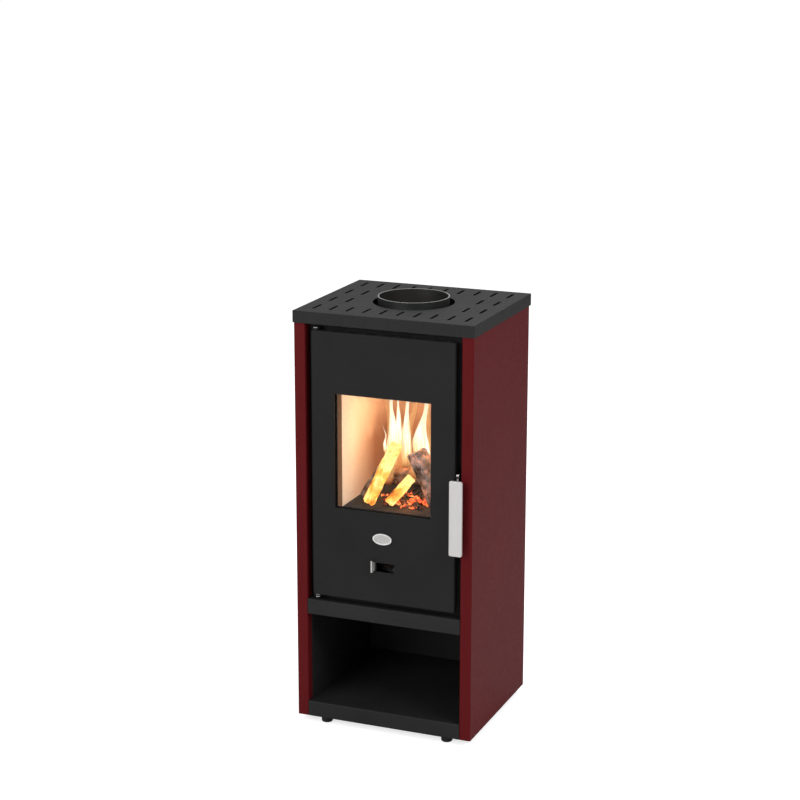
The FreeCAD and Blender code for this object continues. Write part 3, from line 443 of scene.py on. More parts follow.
@dataclass(frozen=True)
class RopeFinish(Finish):
    """Braided glass yarn."""

    yarn: Colour
    gap: Colour
    pitch: float
    slant: float = 38.0  # lean of the strands, in degrees

    def lay_out(self, s: Shader) -> None:
        """Lay out the finish in a shader."""
        strands = []
        for lean in (math.radians(self.slant), math.radians(-self.slant)):
            wave = s.node("ShaderNodeTexWave", {"Vector": s.mapped(turn=(0, lean, lean)),
                                                "Scale": self.pitch, "Distortion": 0.6},
                          wave_type="BANDS", bands_direction="X")
            strands.append(wave.outputs["Fac"])
        weave = s.calc("MAXIMUM", *strands)
        fuzz = s.noise(2600, 3, 0.7)
        soot = s.noise(22, 4, 0.6)
        clean = s.mixed(weave, self.gap, self.yarn)
        s.set(Base_Color=s.mixed(s.spread(soot, (0.4, 0.8), (0, 0.6)), clean, self.gap),
              Roughness=s.spread(fuzz, (0.3, 0.7), (0.8, 0.98)), Sheen_Weight=0.3,
              Normal=s.bump(weave, 0.0008, s.bump(fuzz, 0.0002)))


@dataclass(frozen=True)
class GlassFinish(Finish):
    """Clear ceramic glass with a faint tint, soot towards its edges and a black border of
    painted shade from the window opening's cut edge.
    """

    tint: Colour
    clear: float
    soot: float
    centre: Vector
    reach: float
    border: float  # half width of the clear part inside the black border of painted shade
    tall: float  # half height over half width
    # painted shade: the black of the window opening's shaded cut edge, laid on the glass
    painted_edge_shade: Colour = (0.004, 0.004, 0.004)
    fade: float = 0.0003  # width over which the painted shade begins

    def lay_out(self, s: Shader) -> None:
        """Lay out the finish in a shader."""
        places = s.mapped(shift=tuple(-self.centre))
        across = s.calc("ABSOLUTE", s.axis("X", places))
        upward = s.calc("ABSOLUTE", s.axis("Z", places))
        edge = s.calc("MAXIMUM", across, s.times(upward, 1 / self.tall))
        wisps = s.noise(26, 5, 0.7)
        veil = s.times(s.spread(edge, (self.reach * 0.8, self.reach)),
                       s.spread(wisps, (0.35, 0.8)))
        top = self.border * self.tall
        # painted shade: a black band round the clear part where the opening's cut edge lies in
        # shadow
        border = s.calc("MAXIMUM", s.spread(across, (self.border, self.border + self.fade)),
                        s.spread(upward, (top, top + self.fade)))
        s.set(Base_Color=s.mixed(border, self.tint, self.painted_edge_shade),
              Roughness=s.spread(wisps, (0.3, 0.8), (0.02, 0.07)),
              Alpha=s.calc("MAXIMUM", border, s.spread(veil, (0, 1), (self.clear, self.soot))),
              Specular_IOR_Level=0.5, Coat_Weight=0.3, Coat_Roughness=0.03,
              Normal=s.bump(s.noise(6, 2, 0.5), 0.0002))
        s.material.surface_render_method = "BLENDED"


@dataclass(frozen=True)
class CollarFinish(Finish):
    """Heat-resistant paint on the flue collar, worn to bright steel along its rim."""

    paint: Colour
    steel: Colour
    rim: float  # height where the bare steel begins

    def lay_out(self, s: Shader) -> None:
        """Lay out the finish in a shader."""
        fine = s.noise(1500, 2, 0.5)
        wear = s.plus(s.axis("Z"), s.times(s.noise(260, 4, 0.7), 0.0012))
        bare = s.spread(wear, (self.rim, self.rim + 0.0003))
        painted = s.mixed(s.noise(30, 4, 0.6), shade(self.paint, 0.6), self.paint)
        s.set(Base_Color=s.mixed(bare, painted, self.steel),
              Metallic=s.spread(bare, (0, 1), (0.1, 0.9)),
              Roughness=s.spread(fine, (0.3, 0.7), (0.36, 0.55)),
              Normal=s.bump(fine, 0.00005))


@dataclass(frozen=True)
class BadgeFinish(Finish):
    """Satin badge with a brighter raised rim; the depth of the face picks which."""

    centre: Colour
    rim: Colour
    face: float

    def lay_out(self, s: Shader) -> None:
        """Lay out the finish in a shader."""
        raised = s.spread(s.axis("Y"), (self.face - 0.0004, self.face - 0.0002), (1, 0))
        lines = s.noise(1, 4, 0.6, s.mapped((60, 3000, 4200)))
        soft = s.spread(lines, (0.3, 0.7), (0.32, 0.46))
        satin = s.mixed(lines, self.centre, shade(self.centre, 0.86))
        s.set(Base_Color=s.mixed(raised, satin, self.rim), Metallic=0.85,
              Roughness=s.calc("SUBTRACT", soft, s.times(raised, 0.2)),
              Normal=s.bump(lines, 0.00003))


@dataclass(frozen=True)
class WoodFinish(Finish):
    """A burning log: bark, ash and coals, read from the log's own burn and ash values."""

    bark: Colour
    wood: Colour
    dull_ash: Colour
    pale_ash: Colour
    glow: float
    embers: Sequence[tuple[float, Colour]]

    def lay_out(self, s: Shader) -> None:
        """Lay out the finish in a shader."""
        burn, ash = (s.node("ShaderNodeAttribute", attribute_name=name).outputs["Fac"]
                     for name in ("burn", "ash"))
        run = s.node("ShaderNodeUVMap", uv_map=ALONG).outputs["UV"]
        fibres = s.noise(3, 5, 0.65, s.mapped((9, 2.2, 1), places=run))
        blocks = s.cells(95, "DISTANCE_TO_EDGE", s.mapped((1, 1, 0.6)))
        grit = s.noise(420, 4, 0.7)
        patches = s.noise(48, 5, 0.7)
        char = s.mixed(s.spread(fibres, (0.35, 0.7)), self.bark, self.wood)
        ashen = s.mixed(s.spread(s.plus(patches, s.times(grit, 0.3)), (0.5, 0.8)),
                        self.dull_ash, self.pale_ash)
        colour = s.mixed(s.times(ash, s.spread(patches, (0.3, 0.5))), char, ashen)
        coals = s.times(s.spread(blocks, (0.0, 0.10), (1, 0)), s.spread(patches, (0.42, 0.6)))
        blaze = s.plus(s.times(coals, s.spread(burn, (0.1, 0.5))),
                       s.spread(s.plus(burn, s.times(fibres, 0.35)), (0.62, 0.95)))
        flame = s.ramp(s.spread(s.plus(burn, s.times(fibres, 0.45)), (0.3, 1.3)), self.embers)
        s.set(Base_Color=colour, Emission_Color=flame,
              Emission_Strength=s.times(blaze, self.glow),
              Roughness=s.spread(grit, (0.3, 0.7), (0.72, 0.97)), Specular_IOR_Level=0.2,
              Normal=s.bump(blocks, 0.0012, s.bump(fibres, 0.0010)))


@dataclass(frozen=True)
class FlameFinish(Finish):
    """Flame that is thick in its middle and thins out to nothing at its edges and tip."""

    core: Colour
    edge: Colour
    strength: float
    thick: float

    def lay_out(self, s: Shader) -> None:
        """Lay out the finish in a shader."""
        uv = s.node("ShaderNodeUVMap", uv_map=ALONG).outputs["UV"]
        streaks = s.noise(1.6, 3, 0.5, s.mapped((7, 1.3, 1), places=uv), 0.5)
        along = s.axis("Y", uv)
        rise = s.times(s.spread(along, (0, 0.16)), s.spread(along, (0.45, 1.0), (1, 0)))
        body = s.spread(streaks, (0.34, 0.62))
        cover = s.times(rise, body)
        bright = s.spread(s.times(body, s.spread(along, (0, 0.3))), (0.15, 0.8))
        s.set(Base_Color=(0, 0, 0), Emission_Color=s.mixed(bright, self.edge, self.core),
              Emission_Strength=self.strength, Roughness=1.0, Specular_IOR_Level=0.0,
              Alpha=s.times(cover, self.thick))
        s.material.surface_render_method = "BLENDED"


@dataclass(frozen=True)
class CoalFinish(Finish):
    """Loose coals: grey and black lumps, some of them glowing."""

    lump: Colour
    ash: Colour
    glow: float
    embers: Sequence[tuple[float, Colour]]

    def lay_out(self, s: Shader) -> None:
        """Lay out the finish in a shader."""
        patches = s.noise(75, 4, 0.7)
        grit = s.noise(600, 4, 0.7)
        hot = s.spread(s.noise(55, 3, 0.6), (0.5, 0.66))
        s.set(Base_Color=s.mixed(s.spread(grit, (0.35, 0.7)), self.lump, self.ash),
              Emission_Color=s.ramp(patches, self.embers),
              Emission_Strength=s.times(hot, self.glow),
              Roughness=s.spread(grit, (0.3, 0.7), (0.8, 0.98)), Specular_IOR_Level=0.2,
              Normal=s.bump(grit, 0.0009))


FINISHES = {finish.name: finish for finish in (
    PaintFinish("red_enamel", (0.118, 0.0085, 0.0105), (0.130, 0.0098, 0.0120), (0.42, 0.52),
                1100, 0.00003, 0.06),
    PaintFinish("black_paint", (0.0175, 0.0178, 0.0180), (0.0235, 0.0238, 0.0240),
                (0.5, 0.66), 1500, 0.00006, 0.22),
    PaintFinish("door_paint", (0.0145, 0.0145, 0.0146), (0.0180, 0.0180, 0.0181),
                (0.46, 0.6), 1500, 0.00005, 0.16),
    PaintFinish("firebox_steel", (0.012, 0.012, 0.012), (0.030, 0.028, 0.026), (0.6, 0.8),
                800, 0.00014, 0.25),
    PaintFinish("foot_rubber", (0.016, 0.016, 0.016), (0.026, 0.026, 0.025), (0.7, 0.86),
                1300, 0.00012, 0.2, 0.1),
    CollarFinish("collar_steel", (0.020, 0.021, 0.022), (0.42, 0.42, 0.41), 0.9109),
    CastFinish("cast_grate", (0.030, 0.028, 0.027), (0.075, 0.071, 0.068), 700, 0.0007,
               (0.55, 0.95)),
    CastFinish("bed_brick", (0.036, 0.040, 0.045), (0.060, 0.064, 0.070), 420, 0.0009,
               (0.5, 0.9)),
    # the second colour and the glow strength are painted firelight
    BoardFinish("liner_board", (0.88, 0.76, 0.60), (0.82, 0.56, 0.34), (0.36, 0.17, 0.08),
                (0.50, 0.64), CASING_FRONT + 34.2 * MM, 0.34),
    WoodFinish("burning_wood", (0.020, 0.012, 0.010), (0.11, 0.050, 0.028),
               (0.34, 0.22, 0.18), (0.78, 0.66, 0.58), 1.6,
               ((0.0, (0.75, 0.03, 0.012)), (0.42, (1.0, 0.17, 0.015)),
                (0.72, (1.0, 0.42, 0.06)), (1.0, (1.0, 0.74, 0.26)))),
    RopeFinish("rope_seal", (0.27, 0.26, 0.24), (0.06, 0.057, 0.052), 260),
    # the last two numbers set the black border of painted shade
    GlassFinish("ceramic_glass", (0.05, 0.045, 0.04), 0.07, 0.35, at(0, 7, WINDOW_LEVEL),
                0.112, 0.1035, 1.155),
    BadgeFinish("badge_metal", (0.68, 0.67, 0.65), (0.93, 0.92, 0.91),
                CASING_FRONT - 2.0 * MM),
    MetalFinish("zinc_screw", (0.52, 0.52, 0.50), (0.30, 0.31, 0.30), (0.28, 0.5),
                Grain.SPANGLED),
    MetalFinish("blackened_screw", (0.045, 0.045, 0.046), (0.020, 0.020, 0.021),
                (0.35, 0.55), Grain.PLAIN, 0.00003, 0.7),
    MetalFinish("pin_steel", (0.74, 0.73, 0.71), (0.50, 0.49, 0.48), (0.18, 0.32),
                Grain.TURNED),
    MetalFinish("satin_steel", (0.80, 0.785, 0.77), (0.72, 0.705, 0.69), (0.30, 0.42),
                Grain.BRUSHED_UPRIGHT, 0.00001, 0.55),
    MetalFinish("lever_steel", (0.16, 0.16, 0.16), (0.08, 0.08, 0.08), (0.35, 0.55)),
    MetalFinish("shutter_steel", (0.09, 0.09, 0.09), (0.05, 0.05, 0.05), (0.4, 0.6),
                Grain.BRUSHED_ACROSS),
    MetalFinish("pan_steel", (0.42, 0.43, 0.43), (0.24, 0.25, 0.25), (0.35, 0.6),
                Grain.SPANGLED),
    FlameFinish("flame_outer", (1.0, 0.62, 0.24), (1.0, 0.26, 0.05), 1.25, 0.42),
    FlameFinish("flame_inner", (1.0, 0.93, 0.74), (1.0, 0.60, 0.22), 1.9, 0.92),
    CoalFinish("fire_coals", (0.030, 0.028, 0.027), (0.11, 0.10, 0.095), 3.4,
               ((0.35, (0.8, 0.02, 0.015)), (0.55, (1.0, 0.12, 0.02)),
                (0.72, (1.0, 0.62, 0.2)))),
)}


class Palette:
    """Builds each finish once and hands out its material."""

    def __init__(self) -> None:
        """Start with no materials."""
        self.made: dict[str, Material] = {}

    def material(self, name: str) -> Material:
        """Return the material of the finish of this name."""
        if name not in self.made:
            self.made[name] = FINISHES[name].build()
        return self.made[name]


PALETTE = Palette()


# ------------------------------------------------------------------ meshes
def add_object(name: str, data: bpy.types.ID) -> Piece:
    """Put an object with this mesh, light or camera into the scene."""
    made = bpy.data.objects.new(name, data)
    bpy.context.scene.collection.objects.link(made)
    return made


def piece_from(name: str, verts: Sequence[Vector], faces: Sequence[Sequence[int]],
               uvs: Sequence[Span] | None = None, smooth: bool = True) -> Piece:
    """Make a mesh object whose faces point outwards.

    Args:
        name: The piece's name.
        verts: The corners, in metres.
        faces: Corner numbers of each face.
        uvs: One pair for each corner, kept in the map along the piece.
        smooth: Whether the faces are shaded smooth.

    Returns:
        The object, at the origin.
    """
    mesh = bpy.data.meshes.new(name)
    mesh.from_pydata([tuple(v) for v in verts], [], [tuple(f) for f in faces])
    if uvs is not None:
        layer = mesh.uv_layers.new(name=ALONG)
        for loop in mesh.loops:
            layer.data[loop.index].uv = uvs[loop.vertex_index]
    work = bmesh.new()
    work.from_mesh(mesh)
    bmesh.ops.recalc_face_normals(work, faces=work.faces)
    work.to_mesh(mesh)
    work.free()
    mesh.polygons.foreach_set("use_smooth", [smooth] * len(mesh.polygons))
    return add_object(name, mesh)


def tube(name: str, spine: Sequence[Vector], outline: Callable[[int, int], Vector],
         around: int, smooth: bool = True) -> Piece:
    """Make a closed tube from rings of corners.

    Args:
        name: The piece's name.
        spine: The ring centres; the first and last also close the ends.
        outline: Gives the corner for a ring number and a place round the ring.
        around: Corners in each ring.
        smooth: Whether the faces are shaded smooth.

    Returns:
        The object, with a UV map that runs round and along the tube.
    """
    verts, uvs, faces = [], [], []
    rings = len(spine)
    for ring in range(rings):
        for step in range(around):
            verts.append(outline(ring, step))
            uvs.append((abs(2 * step / around - 1), ring / (rings - 1)))
    for ring in range(rings - 1):
        for step in range(around):
            here, there = ring * around, (ring + 1) * around
            after = (step + 1) % around
            faces.append((here + step, here + after, there + after, there + step))
    for end in (0, rings - 1):
        verts.append(spine[end])
        uvs.append((0.5, end / (rings - 1)))
        centre = len(verts) - 1
        faces += [(centre, end * around + step, end * around + (step + 1) % around)
                  for step in range(around)]
    return piece_from(name, verts, faces, uvs, smooth)


def finish_piece(piece: Piece, body: Body, finish: str) -> Piece:
    """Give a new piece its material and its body.

    Args:
        piece: The mesh object.
        body: The body that it moves with.
        finish: The name of its finish.

    Returns:
        The same object.
    """
    piece.data.materials.clear()
    piece.data.materials.append(PALETTE.material(finish))
    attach(piece, body.value)
    log.info("%s rides on %s, %d faces", piece.name, body.value, len(piece.data.polygons))
    return piece


def dress(names: Sequence[str]) -> None:
    """Give CAD nodes the finishes that the record's slots name.

    Args:
        names: The nodes.
    """
    slots = {part["node"]: part["material_slot"] for part in frame["record"]["subparts"]}
    for name in names:
        node = frame["nodes"][name]
        node.data.materials.clear()
        node.data.materials.append(PALETTE.material(slots[name]))
        log.info("%s is finished in %s", name, slots[name])


# ------------------------------------------------------------------ repeats
class Repeater(Nodes):
    """A Geometry Nodes tree that sets copies of a shape on a mesh's corners."""

    def __init__(self, name: str) -> None:
        """Lay out the tree: copies with a random turn and size, made real.

        Args:
            name: The tree's name.
        """
        super().__init__(bpy.data.node_groups.new(name, "GeometryNodeTree"))
        face = self.tree.interface
        for side in ("INPUT", "OUTPUT"):
            face.new_socket("Geometry", in_out=side, socket_type="NodeSocketGeometry")
        self.sockets = {
            label: face.new_socket(label, in_out="INPUT",
                                   socket_type="NodeSocket" + kind).identifier
            for label, kind in (("Shape", "Object"), ("Least Turn", "Vector"),
                                ("Most Turn", "Vector"), ("Least Size", "Float"),
                                ("Most Size", "Float"), ("Seed", "Int"),
                                ("Finish", "Material"))}
        given = self.node("NodeGroupInput").outputs
        shape = self.node("GeometryNodeObjectInfo", {"Object": given["Shape"]},
                          transform_space="ORIGINAL")
        turn = self.node("FunctionNodeRandomValue",
                         {0: given["Least Turn"], 1: given["Most Turn"],
                          "Seed": given["Seed"]}, data_type="FLOAT_VECTOR")
        size = self.node("FunctionNodeRandomValue",
                         {2: given["Least Size"], 3: given["Most Size"],
                          "Seed": given["Seed"]}, data_type="FLOAT")
        place = self.node("GeometryNodeInstanceOnPoints",
                          {"Points": given["Geometry"], "Instance": shape.outputs["Geometry"],
                           "Rotation": turn.outputs[0], "Scale": size.outputs[1]})
        real = self.node("GeometryNodeRealizeInstances",
                         {"Geometry": place.outputs["Instances"]})
        paint = self.node("GeometryNodeSetMaterial",
                          {"Geometry": real.outputs["Geometry"], "Material": given["Finish"]})
        self.node("NodeGroupOutput", {0: paint.outputs["Geometry"]})

    def run(self, name: str, points: Sequence[Vector], shape: Piece, finish: str,
            turns: tuple[Point, Point], sizes: Span = (1, 1), seed: int = 1) -> Piece:
        """Return a plain mesh object with a copy of the shape at each point.

        Args:
            name: The new piece's name.
            points: Where the copies go.
            shape: The object that is copied; it is removed afterwards.
            finish: The name of the copies' finish.
            turns: The least and most turn about each axis, in radians.
            sizes: The least and most size.
            seed: Seed of the random turns and sizes.

        Returns:
            The new object, at the origin.
        """
        mesh = bpy.data.meshes.new(name + "_points")
        mesh.from_pydata([tuple(p) for p in points], [], [])
        holder = add_object(name + "_points", mesh)
        modifier = holder.modifiers.new("repeat", "NODES")
        modifier.node_group = self.tree
        values = {"Shape": shape, "Least Turn": turns[0], "Most Turn": turns[1],
                  "Least Size": float(sizes[0]), "Most Size": float(sizes[1]), "Seed": seed,
                  "Finish": PALETTE.material(finish)}
        for key, value in values.items():
            modifier[self.sockets[key]] = value
        bpy.context.view_layer.update()
        seen = holder.evaluated_get(bpy.context.evaluated_depsgraph_get())
        plain = bpy.data.meshes.new_from_object(seen)
        plain.name = name
        holder.modifiers.remove(modifier)
        for spare in (holder, shape):
            bpy.data.objects.remove(spare)
        return add_object(name, plain)


@dataclass(frozen=True)
class Screw:
    """A button-headed screw with a hexagon socket, in metres, that faces +Z."""

    length: float
    shank: float = 2.5 * MM
    head: float = 4.5 * MM
    rise: float = 2.4 * MM
    socket: float = 1.5 * MM
    socket_depth: float = 1.3 * MM
    crown: float = 0.62  # radius of the head's flat top, as a share of the head's
    edge: float = 0.35  # height of the head's upright edge, as a share of the rise
    dome_steps: int = 5
    around: int = 24

    def rings(self) -> list[tuple[float, float, bool]]:
        """Return the radius and height of each ring, and if it is a hexagon."""
        rings = [(self.socket, self.rise - self.socket_depth, True),
                 (self.socket, self.rise, True)]
        flat = self.crown * self.head
        for step in range(self.dome_steps):
            swing = step / (self.dome_steps - 1) * math.pi / 2
            rings.append((flat + (self.head - flat) * math.sin(swing),
                          self.rise * (self.edge + (1 - self.edge) * math.cos(swing)), False))
        return rings + [(self.head, 0.0, False), (self.shank, 0.0, False),
                        (self.shank, -self.length, False)]

    def build(self, name: str, facing: Vector) -> Piece:
        """Make one screw at the origin.

        Args:
            name: The object's name.
            facing: The way that the head faces.

        Returns:
            The screw, used as the shape that is repeated.
        """
        turn = facing.to_track_quat("Z", "Y")
        rings = self.rings()

        def outline(ring: int, step: int) -> Vector:
            """Return one corner of the screw."""
            radius, height, hexagon = rings[ring]
            angle = FULL_TURN * step / self.around
            if hexagon:
                radius /= math.cos((angle + SIXTH_TURN / 2) % SIXTH_TURN - SIXTH_TURN / 2)
            return turn @ Vector((radius * math.cos(angle), radius * math.sin(angle), height))

        spine = [turn @ Vector((0, 0, height)) for _, height, _ in rings]
        return tube(name, spine, outline, self.around, smooth=False)

    def set_out(self, repeater: Repeater, name: str, points: Sequence[Vector], body: Body,
                finish: str, seed: int, stands_for: str) -> None:
        """Set screws, facing backwards and turned at random, in place of CAD screws.

        Args:
            repeater: The tree that copies them.
            name: The new piece's name.
            points: Where the screws go.
            body: The body that they move with.
            finish: The name of their finish.
            seed: Seed of the random turns.
            stands_for: The CAD node that they replace.
        """
        shape = self.build(name + "_shape", Vector((0, 1, 0)))
        screws = repeater.run(name, points, shape, finish, ((0, -3, 0), (0, 3, 0)), seed=seed)
        finish_piece(screws, body, finish)
        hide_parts(stands_for)


# ------------------------------------------------------------------ sub-assemblies
@dataclass
class Casing:
    """Side panels, top plate, rail, log store, rear sheets, screws and feet."""

    repeater: Repeater
    nodes: Sequence[str] = ("side_panel_right", "side_panel_left", "top_plate", "front_rail",
                            "base_tray", "log_store_wall_right", "log_store_wall_left",
                            "log_store_back", "firebox_shelf", "rear_cover", "feet",
                            "foot_nuts")
    screw_aside: float = 183.75
    screw_face: float = 340.0
    screw_gap: float = 5.0  # least height between two screws
    screw: Screw = Screw(6.0 * MM)

    def levels(self) -> list[float]:
        """Read the screws' heights from the CAD screws, so both agree.

        Returns:
            The heights in millimetres, upwards.
        """
        corners = frame["nodes"]["rear_screws"].data.vertices
        heights = sorted({round(corner.co.z / MM, 1) for corner in corners})
        groups = [[heights[0]]]
        for height in heights[1:]:
            if height - groups[-1][-1] > self.screw_gap:
                groups.append([])
            groups[-1].append(height)
        return [(group[0] + group[-1]) / 2 for group in groups]

    def build(self) -> None:
        """Dress the sheets and set the rear screws."""
        dress(self.nodes)
        points = [at(side * self.screw_aside, self.screw_face, level)
                  for side in (-1, 1) for level in self.levels()]
        self.screw.set_out(self.repeater, "rear_socket_screws", points, Body.STOVE,
                           "blackened_screw", 4, "rear_screws")


@dataclass
class SplitLog:
    """One burning log between two points, split to a wedge and eaten by fire."""

    name: str
    low: Vector
    high: Vector
    radius: float
    look: LogLook
    split: float  # which way the first flat face looks, in degrees
    seed: int
    flats: Sequence[Span] = ((0, 0.42), (96, 0.60))  # turn and depth of each flat face
    steps: int = 56
    around: int = 36

    def section(self, angle: float) -> float:
        """Find the radius of the split section.

        Args:
            angle: Where round the log, in radians.

        Returns:
            The radius in metres.
        """
        radius = self.radius
        for lean, depth in self.flats:
            across = math.cos(angle - math.radians(self.split + lean))
            if across > 0.05:
                radius = min(radius, depth * self.radius / across)
        return radius

    def build(self) -> Piece:
        """Make the log's mesh with its burn and ash values.

        Returns:
            The log's object.
        """
        run = self.high - self.low
        turn = run.to_track_quat("Z", "Y")
        spine = [self.low + run * (step / (self.steps - 1)) for step in range(self.steps)]
        offset = Vector((self.seed * 3.1, self.seed * 1.7, 0))

        def corner(ring: int, step: int) -> Vector:
            """Return one corner: the section, roughened, with bites and charred blocks."""
            angle = FULL_TURN * step / self.around
            along = ring / (self.steps - 1)
            base = self.section(angle) * min(1.0, 0.80 + 9 * min(along, 1 - along))
            direction = turn @ Vector((math.cos(angle), math.sin(angle), 0))
            spot = spine[ring] + direction * base
            ridges = noise.fractal((spot * 55) + offset, 0.8, 2.1, 4)
            bite = noise.noise(spot * 18 + offset)
            blocks = noise.voronoi(spot * 95 + offset)[0][0]
            base *= 1 + 0.07 * ridges + 0.10 * bite
            base += (blocks - 0.35) * 0.0016
            ragged = 0.0
            if ring in (0, self.steps - 1):
                ragged = 0.004 * noise.noise(direction * 3 + offset)
            return spine[ring] + direction * base + run.normalized() * ragged

        made = tube(self.name, spine, corner, self.around)
        self.mark(made.data, run)
        return made

    def mark(self, mesh: bpy.types.Mesh, run: Vector) -> None:
        """Write how far each corner has burned and how ashy it is.

        Args:
            mesh: The log's mesh.
            run: From its low end to its high end.
        """
        offset = Vector((self.seed, 0, 0))
        drift = np.array([noise.fractal(corner.co * 30 + offset, 0.7, 2.0, 3)
                          for corner in mesh.vertices])
        along = np.array([(corner.co - self.low).dot(run) / run.length_squared
                          for corner in mesh.vertices])
        for name, (base, patchy, climb) in zip(("burn", "ash"), self.look.value):
            values = np.clip(base + patchy * drift + climb * along, 0, 1)
            layer = mesh.attributes.new(name, "FLOAT", "POINT")
            layer.data.foreach_set("value", values.astype(np.float32))


@dataclass
class Flame:
    """One tongue of flame: a flat, closed ribbon that bends as it rises."""

    name: str
    foot: Vector
    tip: Vector
    width: float
    bright: bool
    seed: int
    flat: float = 0.32  # thickness over width
    least: float = 0.0002  # half width at the very tip
    steps: int = 40
    around: int = 14

    def build(self) -> Piece:
        """Make the tongue's mesh.

        Returns:
            The flame's object.
        """
        run = self.tip - self.foot
        side, front = Vector((1, 0, 0)), Vector((0, 1, 0))

        def centre(ring: int) -> Vector:
            """Return the middle of a ring, which sways more the higher it is."""
            along = ring / (self.steps - 1)
            sway = noise.noise(Vector((self.seed * 5.3, along * 2.6, 0)))
            nod = noise.noise(Vector((self.seed * 2.9, along * 2.2, 7)))
            return (self.foot + run * along
                    + side * (sway * self.width * 0.9 * along)
                    + front * (nod * self.width * 0.5 * along))

        def corner(ring: int, step: int) -> Vector:
            """Return one corner of the ribbon, widest in its lower half."""
            along = ring / (self.steps - 1)
            angle = FULL_TURN * step / self.around
            belly = (0.35 + 0.65 * math.sin(math.pi * min(1.0, along * 1.7 + 0.12)))
            taper = max(0.0, 1 - along) ** 0.55
            flick = 1 + 0.28 * noise.noise(Vector((self.seed, along * 6, math.cos(angle))))
            half = self.width / 2 * belly * taper * flick + self.least
            return (spine[ring] + side * (half * math.cos(angle))
                    + front * (half * self.flat * math.sin(angle)))

        spine = [centre(ring) for ring in range(self.steps)]
        return tube(self.name, spine, corner, self.around)


